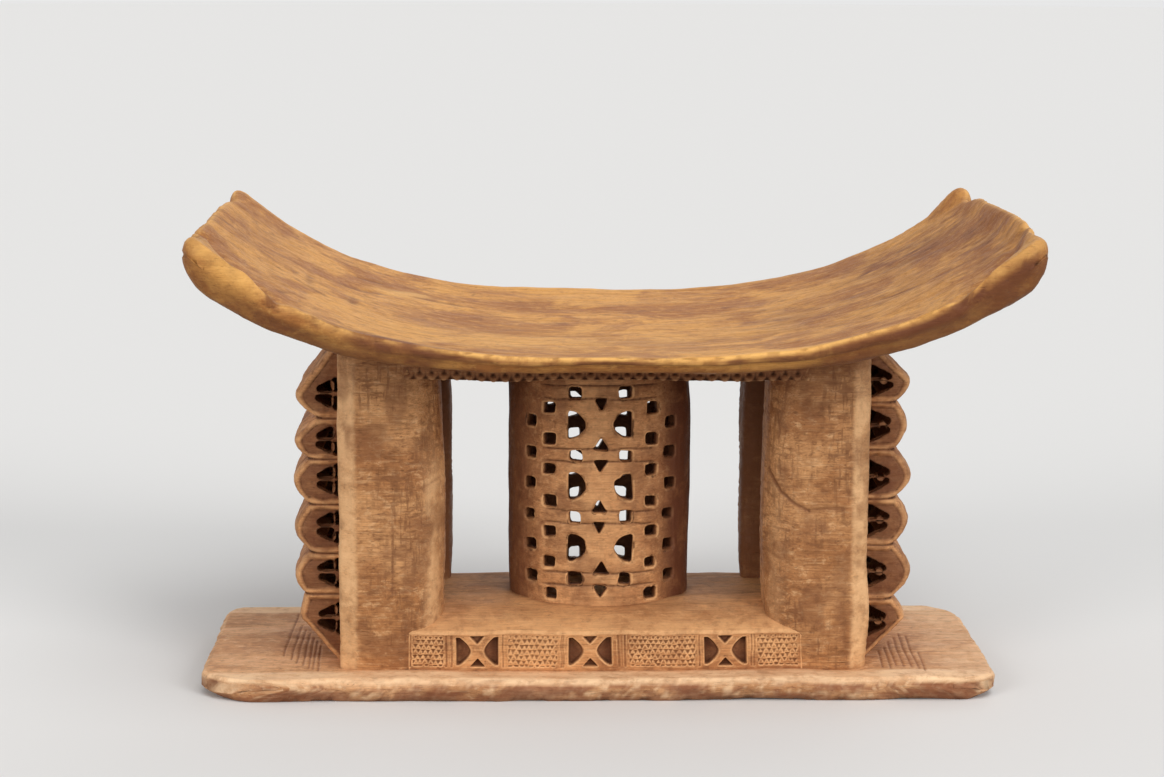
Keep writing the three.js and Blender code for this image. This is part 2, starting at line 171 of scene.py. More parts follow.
def noise(points, size, seed, octaves=1):
    """Smooth noise from about -1 to 1 at each point, with features of the given size."""
    total = np.zeros(len(points))
    weight, reach = 1.0, 0.0
    size = np.broadcast_to(np.asarray(size, float), 3)
    for octave in range(octaves):
        total += weight * lattice_noise(points / size, seed * 101 + octave * 7)
        reach += weight
        weight *= OCTAVE_WEIGHT
        size = size / OCTAVE_SIZE
    return total / reach


def lattice_noise(points, seed):
    """Values at the corners of unit cells, blended smoothly inside them."""
    points = points + np.array(SEED_SHIFT) * (seed % 97 + 1)
    cell = np.floor(points).astype(np.int64)
    part = points - cell
    blend = part * part * part * (part * (part * 6 - 15) + 10)
    total = np.zeros(len(points))
    for corner in np.ndindex(2, 2, 2):
        share = np.prod(np.where(corner, blend, 1 - blend), axis=1)
        total += share * lattice_value(cell + np.array(corner), seed)
    return total * NOISE_GAIN


def lattice_value(cell, seed):
    """A fixed number from -1 to 1 for each lattice cell."""
    a, b, c = (cell * np.array(CELL_FACTORS)).T
    key = a ^ b ^ c ^ seed * SEED_FACTOR
    for shift, factor in MIXERS:
        key = (key ^ (key >> shift)) * factor & 0xFFFFFFFF
    return (key >> 8 & 0xFFFF) / 32767.5 - 1


def ease(value, low, high):
    """0 below low and 1 above high, with a smooth step between them."""
    share = np.clip((value - low) / (high - low), 0, 1)
    return share * share * (3 - 2 * share)


def fade(value, low, high):
    return 1 - ease(value, low, high)


def bell(distance, width):
    return np.exp(-((distance / width) ** 2))


def most(*masks):
    return np.maximum.reduce(masks)


def patches(points, size, seed, low=0.0, high=0.5, octaves=3):
    """Soft patches from 0 to 1, where the noise is between low and high."""
    return ease(noise(points, size, seed, octaves), low, high)


def uneven(points, layers):
    """Unevenness in millimetres. Each layer has a depth, a size, a seed and octaves."""
    return sum(depth * noise(points, *layer) for depth, *layer in layers)


def from_path(across, up, path):
    """Distance of each point from a line through the path's points, in one plane."""
    points, path = np.stack([across, up], 1), np.array(path, float)
    nearest = np.full(len(points), np.inf)
    for start, step in zip(path, np.diff(path, axis=0)):
        share = np.clip(((points - start) @ step) / (step @ step), 0, 1)
        offset = points - start - share[:, None] * step
        nearest = np.minimum(nearest, np.hypot(*offset.T))
    return nearest


def spaced(stops, gaps):
    """Places from the first stop to the last, with about the given gap in each stretch."""
    places = [np.array([stops[0]], float)]
    for start, end, gap in zip(stops[:-1], stops[1:], gaps):
        count = max(1, round(abs(end - start) / gap))
        places.append(np.linspace(start, end, count + 1)[1:])
    return np.concatenate(places)


# Meshes. Rings are an array of rings by points by three.


def between(row, beyond, size):
    """The faces between rings that start at these points and at those of the rings beyond."""
    here = np.arange(size)
    following = (here + 1) % size
    sides = np.stack([row + here, row + following, beyond + following, beyond + here], -1)
    return sides.reshape(-1, 4)


def skin(rings, zipped=True):
    """Points and faces of a closed skin. Its ends are zipped across, or one face each."""
    count, size = rings.shape[:2]
    row = np.arange(count - 1)[:, None] * size
    if zipped:
        step = np.arange(size // 2 - 1)
        cap = np.stack([step, size - 1 - step, size - 2 - step, step + 1], 1)
    else:
        cap = np.arange(size)[None, ::-1]
    caps = [cap, cap[:, ::-1] + (count - 1) * size]
    return rings.reshape(-1, 3), [between(row, row + size, size), *caps]


def tube(rings):
    """Points and faces of a skin that closes on itself both ways."""
    count, size = rings.shape[:2]
    row = np.arange(count)[:, None] * size
    return rings.reshape(-1, 3), [between(row, np.roll(row, -1, 0), size)]


def read(items, key, width, kind=float):
    """One property of a mesh's points, edges or triangles, a row for each."""
    values = np.zeros(len(items) * width, kind)
    items.foreach_get(key, values)
    return values.reshape(-1, width)


def points_of(mesh):
    return read(mesh.vertices, "co", 3) * MM


def edges_of(mesh):
    return read(mesh.edges, "vertices", 2, np.int32)


def dot(first, second):
    return np.einsum("ij,ij->i", first, second)


def set_points(mesh, points):
    mesh.vertices.foreach_set("co", (points / MM).ravel())
    mesh.update()


def new_mesh(name, points, faces):
    mesh = bpy.data.meshes.new(name)
    sizes = np.concatenate([np.full(len(group), group.shape[1]) for group in faces])
    corners = np.concatenate([group.ravel() for group in faces])
    mesh.vertices.add(len(points))
    mesh.vertices.foreach_set("co", (points / MM).ravel())
    mesh.loops.add(len(corners))
    mesh.loops.foreach_set("vertex_index", corners.astype(np.int32))
    mesh.polygons.add(len(sizes))
    starts = np.concatenate([[0], np.cumsum(sizes)[:-1]])
    mesh.polygons.foreach_set("loop_start", starts.astype(np.int32))
    mesh.update(calc_edges=True)
    mesh.validate()
    mesh.calc_loop_triangles()
    triangles = points_of(mesh)[read(mesh.loop_triangles, "vertices", 3, np.int32)]
    a, b, c = triangles.transpose(1, 0, 2)
    if dot(a, np.cross(b, c)).sum() < 0:
        mesh.flip_normals()
    return mesh


def both_ways(edges):
    """Start and end of every edge, and then of every edge turned round."""
    return np.concatenate([edges, edges[:, ::-1]]).T


def blurred(values, edges, times):
    """The values, spread over the mesh by the given number of steps."""
    (start, end), count = both_ways(edges), len(values)
    near = np.bincount(start, minlength=count).clip(1)
    for _ in range(times):
        around = np.bincount(start, weights=values[end], minlength=count)
        values = (values + around / near) / 2
    return values


def bend_of(mesh, edges, spread):
    """How sharply the surface bends, in 1/mm: above 0 on an arris, below 0 in a crease."""
    points, normals = points_of(mesh), read(mesh.vertices, "normal", 3)
    (start, end), count = both_ways(edges), len(points)
    step = points[end] - points[start]
    bend = -2 * dot(step, normals[start]) / dot(step, step).clip(1e-4)
    total = np.bincount(start, weights=bend, minlength=count)
    return blurred(total / np.bincount(start, minlength=count).clip(1), edges, spread)


def hand_carved(points):
    """The points moved a little, alike for every member, so that no line is quite straight."""
    wander = [noise(points, WOBBLE_SIZE, seed, 2) for seed in WOBBLE_SEEDS]
    return points + WOBBLE * np.stack(wander, 1)


# Wear of every arris, in millimetres: the depth of its chips, and how far it is rubbed down.
CHIP_DEPTH = 1.3
RUB_DEPTH = 0.35


def finish_piece(piece, node, mesh, slot, marks, chip=1.0, dirt_and_shade=1.0, spread=3):
    """Wears and marks a member's mesh, paints its masks and puts it in its node's place.

    marks gives the relief in millimetres at each point, how dark it is from stains and painted
    shade, and how pale it is from rubbed wear and painted light.
    """
    edges, true = edges_of(mesh), points_of(mesh)
    relief, stain_and_shade, pale = marks(true)
    arris = ease(bend_of(mesh, edges, spread), 0.04, 0.22)
    chips = min(1, 1.5 * chip) * patches(true, 6.5, 21, 0.12) * arris
    rubbed = RUB_DEPTH * arris * (1 + noise(true, 14, 22, 2))
    carved = hand_carved(true)
    set_points(mesh, carved)
    normals = read(mesh.vertices, "normal", 3)
    carved += normals * (relief - chip * CHIP_DEPTH * chips - chip * rubbed)[:, None]
    carved[:, 2] = np.maximum(carved[:, 2], 0)
    set_points(mesh, carved)
    bend = bend_of(mesh, edges, 2)
    # The crease mask darkens creases with dirt and painted shade, the stain mask holds stains and
    # painted shade, and the pale mask rubbed wear and painted light.
    masks = {
        "crease": dirt_and_shade * ease(-bend, 0.03, 0.4),
        "arris": most(arris * (1 - 0.6 * chips), 0.5 * ease(bend, 0.1, 0.6)),
        "chips": chips,
        "stain_and_shade": stain_and_shade,
        "pale": pale,
    }
    for mask, values in masks.items():
        layer = mesh.attributes.new(mask, "FLOAT", "POINT")
        layer.data.foreach_set("value", np.clip(values, 0, 1).astype(np.float32))
    mesh.shade_smooth()
    piece = bpy.data.objects.new(piece, mesh)
    bpy.context.scene.collection.objects.link(piece)
    mesh.materials.clear()
    mesh.materials.append(wood(slot))
    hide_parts(node)
    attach(piece, "root")


# Planks: the seat and the base plate. Both are skins through sections along X.


def plank(middle, stations, half, tip, heights, gap, arris, foot, undercut, power):
    """Rings of a plank, whose ends follow tip(across, side).

    Its points are a gap apart across the top. Its sides have an arris and a foot of these radii,
    and are set in by the undercut below. power says how near its ends a section bends with them.
    """
    full = abs(stations[0])
    turn = np.linspace(0, math.pi / 2, 6)[1:-1]
    band = np.array([0.2, 0.6])
    level = 0 * band
    flat = np.linspace(-(half - arris), half - arris, round(2 * half / gap))
    low_half = half - undercut
    low_flat = np.linspace(low_half - foot, foot - low_half, len(flat))

    def across(edge, middle, sign=1):
        """A row of values from one side to the other: an edge, the middle, and the edge again."""
        return np.concatenate([*edge, middle, *(sign * part[::-1] for part in edge[::-1])])

    upper_y = across([level - half, -(half - arris + arris * np.cos(turn))], flat, -1)
    lower_y = across([half - undercut * band, low_half - foot + foot * np.cos(turn)], low_flat, -1)
    drop = across([level + arris, arris * (1 - np.sin(turn))], 0 * flat)
    rise = across([level + foot, foot * (1 - np.sin(turn))], 0 * flat)
    share = across([band, 1 + 0 * turn], 1 + 0 * flat)
    y = np.concatenate([upper_y, lower_y])[None, :]
    s = stations[:, None]
    side = np.where(s < 0, -1, 1)
    x = middle + s - side * (full - tip(y, side)) * (np.abs(s) / full) ** power
    top, under = heights(full - np.abs(s), x, y)
    centre = (top + under) / 2
    n = len(share)
    z_upper = centre[:, :n] + share * (top[:, :n] - drop - centre[:, :n])
    z_lower = centre[:, n:] + share * (under[:, n:] + rise - centre[:, n:])
    return np.stack([x, np.broadcast_to(y, x.shape), np.concatenate([z_upper, z_lower], 1)], -1)


def ends_round(full, nose, inner):
    """Stations from tip to tip, close together round each nose."""
    tips = full - nose * (1 - np.cos(np.linspace(0.12, math.pi / 2, 9)))
    return np.concatenate([-tips[:-1], inner, tips[:-1][::-1]])


# Seat. The creases inside the rolled lobes at its near corners, and how high the lobes stand.
LOBE_CREASES = {
    -1: [(-254, -84), (-247, -98), (-239, -109), (-230, -126), (-222, -134), (-206, -147)],
    1: [(258, -90), (253, -102), (246, -114), (239, -128), (231, -136), (214, -147)],
}
LOBE_RISE = 5.0
LOBES_FROM = 180
# Horns at the far corners: the place of each peak, and how high and how wide it stands.
HORNS = [(-249.0, 142.0, 3.4, 28.0), (250.0, 143.0, 6.5, 17.0)]
# Lip along the right end: how high it stands, how far in it starts, and the stretches from the
# back to the front over which it comes in, gets higher and fades out.
LIP_RISE = 6.5
LIP_REACH = 17.0
LIP_START = (-118, -75)
LIP_GROWTH = (-80, 40)
LIP_END = (108, 140)
# Scoop in the top just inside its ends: its depth, and the stretches inwards from the tip over
# which it comes in and fades out.
SCOOP = 1.6
SCOOP_START = (5, 14)
SCOOP_END = (30, 60)
# Knots in the top: place and size.
SEAT_KNOTS = [(-163, 44, 9), (163, 58, 9), (-190, 6, 5), (58, -70, 6)]
# Stained places on the top: centre, half length, half width and strength.
SEAT_STAINS = [
    (-161, 34, 6, 7, 1.1), (-151, 45, 7, 6, 0.9), (-152, 86, 8, 7, 0.9), (-134, 92, 5, 5, 0.6),
    (-163, -24, 3.5, 11, 1.0), (-190, -12, 3.5, 28, 0.6), (-246, -118, 7, 26, 0.8),
    (-244, 10, 12, 70, 0.35), (60, -60, 70, 18, 0.2), (165, 60, 13, 15, 0.75),
    (178, 74, 12, 7, 0.8), (206, 55, 24, 8, 0.75), (237, 22, 16, 11, 0.85),
    (201, -34, 30, 7, 0.75), (238, -57, 13, 9, 0.85), (190, 10, 80, 120, 0.45),
    (207, 72, 56, 66, 1.0), (240, -30, 18, 90, 1.0), (118, -10, 36, 66, 0.6),
    (-232, 30, 34, 130, 0.35),
]
# Scratches in the top: two ends, width, depth and stain.
SEAT_SCRATCHES = [
    ((-168, 30), (-146, 50), 5.0, 1.4, 1.0), ((-165, 78), (-150, 84), 3.2, 0.5, 0.8),
    ((-163, -12), (-162, -34), 3.0, 0.5, 0.8), ((-192, 15), (-189, -41), 2.6, 0.4, 0.5),
    ((-219, -18), (-178, -50), 2.2, 0.4, 0.7), ((-150, -84), (-110, -92), 2.2, 0.4, 0.6),
    ((-124, 64), (-96, 58), 3.2, 0.4, 0.6), ((-202, -112), (-196, -94), 2.6, 0.5, 0.6),
    ((-244, -108), (-226, -143), 5.0, 0.6, 0.9), ((150, -60), (200, -48), 2.4, 0.4, 0.6),
    ((164, 64), (182, 75), 3.0, 0.4, 0.8), ((190, 58), (248, 13), 3.4, 0.5, 0.8),
    ((173, -38), (245, -61), 3.4, 0.5, 0.8), ((120, 104), (176, 112), 2.4, 0.3, 0.5),
]
# The rubbed streak beside the left knot: its two ends and its width.
SEAT_STREAK = [(-144, 62), (-126, 72)]
SEAT_STREAK_WIDTH = 9.0
# Unevenness of the top, the edges and the underside.
SEAT_GRAIN = [
    (0.35, (60, 22, 22), 31, 2), (0.16, (46, 3.4, 3.4), 32, 2), (0.05, (12, 1.3, 1.3), 33),
]
SEAT_DENTS = [(0.7, (18, 9, 7), 34, 2), (0.35, (5, 5, 2.6), 35, 2)]
SEAT_UNDERCUTS = [(0.5, (26, 11, 11), 36, 2), (0.12, 4, 37)]
# Darkening of the edges, painted shade with a stain on the left: the place along X where that stain
# is strongest, its width, the stretches where the painted shade on the right comes in and fades
# out, and where, towards the left end, the darkening fades out.
SEAT_PATCH = -131
SEAT_PATCH_WIDTH = 34
EDGE_SHADE_START = (90, 190)
EDGE_SHADE_END = (238, 250)
EDGE_SHADE_LEFT_END = (146, 172)
# Rubbed places: where the rim's fades out to the right, and the middle and half size of the top's.
RIM_END = (110, 190)
RUBBED_MIDDLE = (-20, -80)
RUBBED_SIZE = (130, 55)


def seat_levels(x, y):
    """Heights of the seat's arris, top and underside over a place on the plan."""
    along, across = (x - seat_x) / seat_reach, y / seat_side
    arris = seat_arris + SEAT_RISE * np.abs(along) ** SEAT_RISE_POWER
    top = arris - SEAT_DISH * (1 - along**2) * (1 - across**2)
    under = arris - SEAT_EDGE - SEAT_END_EXTRA * along**2 - SEAT_BELLY * (1 - across**2)
    return arris, top, under


def under_seat(x, y):
    return seat_levels(x, y)[2]


def seat_lobe(x, y):
    """How far beyond the crease a place lies, towards the near corner."""
    x, y = np.broadcast_arrays(x, y)
    beyond = np.full(x.shape, -99.0)
    for side, path in LOBE_CREASES.items():
        reach = from_path(x.ravel(), y.ravel(), path).reshape(x.shape)
        path_x, path_y = np.array(path[::-1]).T
        outside = (y < np.interp(side * x, side * path_x, path_y)) & (side * x > side * path_x[0])
        beyond = np.where(side * x > LOBES_FROM, np.where(outside, reach, -reach), beyond)
    return beyond


def seat_tip(y, side):
    across = np.abs(y) / seat_side
    corner = np.where(y < 0, SEAT_CORNER, SEAT_FAR_CORNER)
    into_corner = np.clip((np.abs(y) - seat_side + corner) / corner, 0, 1)
    notch = SEAT_NOTCH * bell(across - SEAT_NOTCH_AT, SEAT_NOTCH_SPREAD)
    notch = np.where(y < 0, notch, SEAT_FAR_NOTCH_SHARE * notch)
    cut = notch + corner * (1 - np.sqrt(1 - into_corner**2))
    return seat_reach + SEAT_OVERRUN - cut + 0 * side


def seat_heights(from_tip, x, y):
    _, top, under = seat_levels(np.clip(x, seat_x - seat_reach, seat_x + seat_reach), y)
    beyond = seat_lobe(x, y)
    crease = 0.6 * ease(-beyond, 0, 5) * bell(beyond + 6, 6)
    top = top + LOBE_RISE * (ease(beyond, -1, 7) - crease)
    for horn_x, horn_y, high, wide in HORNS:
        from_peak = np.sqrt(((x - horn_x) ** 2 + (y - horn_y) ** 2) / wide**2 + 0.02)
        top = top + high * np.clip(1.1 - from_peak, 0, 1)
    lip = fade(from_tip, 3, LIP_REACH) * (x > seat_x) * ease(-y, *LIP_START) * fade(-y, *LIP_END)
    top = top + LIP_RISE * lip * (0.75 + 0.25 * ease(-y, *LIP_GROWTH))
    scoop = ease(from_tip, *SCOOP_START) * fade(from_tip, *SCOOP_END)
    top = top - SCOOP * scoop * (1 - np.abs(y / seat_side) ** 6)
    fullness = np.sqrt(1 - np.clip(1 - from_tip / SEAT_NOSE, 0, 0.993) ** 2)
    centre = (top + under) / 2
    return centre + (top - centre) * fullness, centre + (under - centre) * fullness


def seat_marks(p):
    x, y, z = p.T
    along = (x - seat_x) / seat_reach
    arris, surface, _ = seat_levels(x, y)
    down = arris - z
    beyond = seat_lobe(x, y)
    on_top = ease(z - surface, -3, -0.5)
    on_edge = ease(np.abs(y), seat_side - 4, seat_side - 1) * (1 - on_top)
    relief = uneven(p, SEAT_GRAIN) + on_edge * uneven(p, SEAT_DENTS)
    relief += ease(surface - z, 6, 10) * (1 - on_edge) * uneven(p, SEAT_UNDERCUTS)
    for knot_x, knot_y, size in SEAT_KNOTS:
        reach = np.hypot((x - knot_x) / 1.7, y - knot_y)
        rings = np.cos(reach * 2 * math.pi / 3.2) * bell(reach, size)
        relief += on_top * (0.18 * rings - 0.5 * bell(reach, size * 0.45))
    stained = 0 * x
    grain = 0.6 + 0.4 * noise(p, (40, 6, 6), 44, 3)
    for centre_x, centre_y, long, wide, strength in SEAT_STAINS:
        reach = np.hypot((x - centre_x) / long, (y - centre_y) / wide)
        stained = most(stained, strength * bell(reach, 1.0) * grain)
    broken = 0.75 + 0.45 * noise(p, 12, 45, 2)
    for start, end, wide, deep, dark in SEAT_SCRATCHES:
        scratch = bell(from_path(x, y, [start, end]), wide)
        relief -= on_top * deep * scratch
        stained = most(stained, dark * broken * scratch)
    stained = most(stained, 0.75 * ease(beyond, -11, -3) * fade(beyond, -1, 2))
    stained *= ease(-down, -9, -5)
    # The edges and the underside are darker, but for the left end, and most so in some places:
    # painted shade, with a stain in the patch on the left.
    under = 0.8 * ease(down, 7, 14) * (1 - 0.5 * ease(-along, 0.75, 1.0))
    cloud = patches(p, (26, 30, 12), 41, -0.3, 0.4)
    in_patch = bell(x - SEAT_PATCH, SEAT_PATCH_WIDTH)
    left = np.clip(1.5 * in_patch, 0, 1)
    right = ease(x, *EDGE_SHADE_START) * fade(x, *EDGE_SHADE_END)
    edge = ease(np.abs(y), seat_side - 3, seat_side - 0.5) * ease(down, 0.8, 3.5)
    edge *= np.clip(0.55 + 0.4 * cloud + 0.9 * most(right, left), 0, 1)
    edge *= 1 - 0.8 * ease(-x, *EDGE_SHADE_LEFT_END)
    lap = left * ease(-y, seat_side - 14, seat_side - 5) * (0.55 + 0.45 * cloud)
    # The arrises, the lobes, the middle and a streak beside the knot are rubbed pale.
    rim = bell(np.abs(y) - seat_side + 2.5, 4.5) * fade(down, 2.0, 4.0)
    rim *= (1 - in_patch) * (1 - 0.7 * ease(x, *RIM_END))
    rim *= 0.6 + 0.4 * noise(p, (22, 9, 9), 43, 2)
    tips = ease(np.abs(x - seat_x), seat_reach - 5, seat_reach - 1) * ease(-down, -6, -2)
    lobes = 0.6 * ease(beyond, 2, 7) * ease(-down, -10, 0)
    from_middle = (p[:, :2] - RUBBED_MIDDLE) / RUBBED_SIZE
    middle = 0.3 * bell(np.hypot(*from_middle.T), 1.0)
    streak = 0.8 * bell(from_path(x, y, SEAT_STREAK), SEAT_STREAK_WIDTH)
    rubbed = most(middle, streak) * ease(-down, -8, -4)
    return relief, most(under, stained, edge, lap), most(rim, tips, lobes, rubbed)


def make_seat():
    full = seat_reach + SEAT_OVERRUN
    stops = [SEAT_NOSE - full, 60 - full, full - 60, full - SEAT_NOSE]
    stations = ends_round(full, SEAT_NOSE, spaced(stops, [1.2, 1.8, 1.2]))
    sizes = {"gap": 2.0, "arris": 2.4, "foot": 4.2, "undercut": 5.0, "power": 8}
    rings = plank(seat_x, stations, seat_side, seat_tip, seat_heights, **sizes)
    mesh = new_mesh("seat_top", *skin(rings))
    finish_piece("seat_carved", "seat", mesh, "seat_wood", seat_marks, chip=0.5, dirt_and_shade=0.8)


# Base plate: radii of its corners along X and along Y, near and far, on each side.
BASE_CORNERS = {(-1, -1): (52, 28), (-1, 1): (14, 20), (1, -1): (30, 20), (1, 1): (34, 36)}
BASE_NOSE = 4.0
BASE_UNDERCUT = 17.0
BASE_UNDERCUT_SHARE = 0.4
# Grooves scratched in the base beside the screens, as the plan places of their two ends.
GROOVES = [
    ((-208.5, 70), (-208.5, -35)), ((-203.2, 40), (-203.0, -44)), ((-199.5, 28), (-198.8, -52)),
    ((-195.8, 19), (-194.2, -58)), ((-192.2, 9), (-190.2, -64)), ((-189.2, 2), (-187.6, -66)),
    ((-186.2, -9), (-184.2, -70)), ((180.0, -28), (177.6, -66)), ((185.0, -18), (182.4, -68)),
    ((189.0, -5), (186.6, -62)), ((194.0, 7), (191.0, -64)), ((198.3, 16), (195.6, -66)),
    ((202.4, 10), (199.6, -70)), ((205.6, -30), (202.4, -76)),
]
GROOVE_WIDTH = 1.3
GROOVE_DEPTH = 0.6
# How far from the middle, on either side, the grooves lie and the plate has finer sections.
GROOVED = (172, 214)
FINE = (170, 215)
# Where, towards the right and the left end, the top is paler: rubbed wear and painted light.
BASE_PALE_RIGHT = (195, 225)
BASE_PALE_LEFT = (210, 225)
# Unevenness of the whole plate, and of its edges.
BASE_GRAIN = [(0.4, (60, 30, 30), 51, 2), (0.12, (30, 3.0, 3.0), 52, 2)]
BASE_DENTS = [(0.7, (22, 22, 9), 53, 2), (0.45, (6, 6, 3.2), 54, 2)]


def base_tip(y, side):
    cut = np.zeros(np.broadcast(y, side).shape)
    for (at_side, at_end), (along, across) in BASE_CORNERS.items():
        into = np.clip((y * at_end - base_side + across) / across, 0, 1)
        here = (side == at_side) & (y * at_end > 0)
        cut = np.where(here, along * (1 - np.sqrt(1 - into**2)), cut)
    return base_reach - cut


def base_heights(from_tip, x, y):
    into = np.clip(1 - from_tip / BASE_NOSE, 0, 1)
    cut = np.clip(1 - from_tip / BASE_UNDERCUT, 0, 1)
    top = base_top - BASE_NOSE * (1 - np.sqrt(1 - into**2))
    return top + 0 * y, base_top * BASE_UNDERCUT_SHARE * cut**1.6 + 0 * y


def base_marks(p):
    x, y, z = p.T
    groove = 0 * x
    near = (np.abs(x) > GROOVED[0]) & (np.abs(x) < GROOVED[1])
    for ends in GROOVES:
        share = np.clip(1 - from_path(x[near], y[near], ends) / GROOVE_WIDTH, 0, 1)
        groove[near] = most(groove[near], share)
    on_edge = fade(z, base_top - 3, base_top - 1) * ease(z, 0.5, 2.0)
    relief = uneven(p, BASE_GRAIN) + on_edge * uneven(p, BASE_DENTS)
    relief -= ease(z, base_top - 1.2, base_top - 0.2) * GROOVE_DEPTH * groove
    relief = np.where(z < 0.3, np.minimum(relief, 0), relief)
    edge = most(patches(p, (22, 22, 8), 61, -0.15, 0.35), 0.8 * patches(p, (7, 7, 3.5), 63, 0.1))
    edge *= 0.75 * fade(z, base_top - 5, base_top - 2)
    # The lowest few millimetres are darker: painted shade where the plate meets the floor.
    low = 0.7 * fade(z, 0.8, 3.5)
    stain_and_shade = most(edge, low, 0.45 * ease(z, base_top - 2.5, base_top - 1) * groove)
    # The strip before the pillars and the ends of the top are paler: rubbed wear and painted light,
    # the right end most.
    strip = ease(np.abs(y), stance_side - 1, stance_side + 5)
    ends = 0.5 * ease(x, *BASE_PALE_RIGHT) + 0.15 * ease(-x, *BASE_PALE_LEFT)
    specks = 0.6 * patches(p, (3.4, 3.4, 2.4), 64, 0.25, 0.6, 2)
    specks *= ease(np.abs(y), base_side - 7, base_side - 3)
    rubbed = most(strip, ends) * (0.8 + 0.35 * noise(p, (26, 7, 7), 62, 3))
    return relief, stain_and_shade, most(ease(z, base_top - 4, base_top - 1.5) * rubbed, specks)


def make_base():
    start, end = FINE
    stops = [BASE_NOSE - base_reach, *(x - base_x for x in (-end, -start, start, end))]
    inner = spaced(stops + [base_reach - BASE_NOSE], [1.3, 0.6, 2.2, 0.6, 1.3])
    stations = ends_round(base_reach, BASE_NOSE, inner)
    sizes = {"gap": 1.6, "arris": 3.2, "foot": 1.6, "undercut": 4.0, "power": 4}
    rings = plank(base_x, stations, base_side, base_tip, base_heights, **sizes)
    mesh = new_mesh("base_top", *skin(rings))
    finish_piece("base_carved", "base_plate", mesh, "base_wood", base_marks, dirt_and_shade=0.5)


# Pillars. Cracks in the fronts of two of them: a path across X and Z, depth and width.
PILLAR_CRACKS = {
    "pillar_front_right": [
        ([(98, 155), (104, 142), (110, 132), (118, 125), (128, 120)], 1.2, 0.9),
        ([(128, 120), (138, 122), (150, 122)], 0.7, 1.2),
        ([(149, 60), (151, 42), (153, 27)], 0.6, 2.6),
    ],
    "pillar_front_left": [
        ([(-136.3, 112), (-136.9, 92), (-136.7, 66)], 0.6, 0.6),
        ([(-118, 133), (-108, 138), (-102, 141)], 0.5, 1.0),
    ],
}
PILLAR_GAP = 1.2
PILLAR_LEVELS = 160
# Heights between which the painted shade under the seat comes in, painted shade comes in on the
# right pillars' bevels, the pale of the inner arrises fades out, and all pale places fade out.
PILLAR_SHADE = (178, 214)
BEVEL_SHADE = (80, 170)
INNER_PALE_END = (130, 175)
PILLAR_PALE_END = (185, 215)
# How far from the stance's middle that painted shade of the bevels fades out, and how far forward
# the pale of the outer arrises comes in. The pale places are rubbed wear and painted light.
BEVEL_SHADE_END = (97, 108)
OUTER_PALE_START = (20, 60)


def curve(start, control, end):
    """Points along a quadratic curve, or along a line without a control, without the end."""
    start, end = np.array(start), np.array(end)
    control = (start + end) / 2 if control is None else np.array(control)
    count = max(2, round(np.linalg.norm(end - start) / PILLAR_GAP))
    share = np.linspace(0, 1, count + 1)[:-1, None]
    return (1 - share) ** 2 * start + 2 * share * (1 - share) * control + share**2 * end


def pillar_plan():
    """The outline of a pillar at its foot, outer side first, in positive X and Y."""
    outer, inner, turn = stance_reach, pillar_inner, PILLAR_REAR_ROUND
    front, rear = stance_side, stance_side - PILLAR_DEPTH
    bevel_control = (
        inner + PILLAR_BEVEL_WIDTH / 2 - PILLAR_BEVEL_SWELL,
        front - PILLAR_BEVEL_DEPTH / 2 + PILLAR_BEVEL_SWELL,
    )
    # Each corner, and the control of the curve to the next one, if that isn't a line.
    corners = [
        ((outer, rear + turn), None),
        ((outer, front - PILLAR_CHAMFER), None),
        ((outer - PILLAR_CHAMFER_WIDTH, front), None),
        ((inner + PILLAR_BEVEL_WIDTH, front), bevel_control),
        ((inner, front - PILLAR_BEVEL_DEPTH), None),
        ((inner, rear + turn), (inner, rear)),
        ((inner + turn, rear), None),
        ((outer - turn, rear), (outer, rear)),
    ]
    following = corners[1:] + corners[:1]
    parts = [curve(*corner, end) for corner, (end, _) in zip(corners, following)]
    outline = np.concatenate(parts)
    outline = outline[: len(outline) // 2 * 2]
    for _ in range(3):
        outline = (np.roll(outline, 1, 0) + 2 * outline + np.roll(outline, -1, 0)) / 4
    return outline


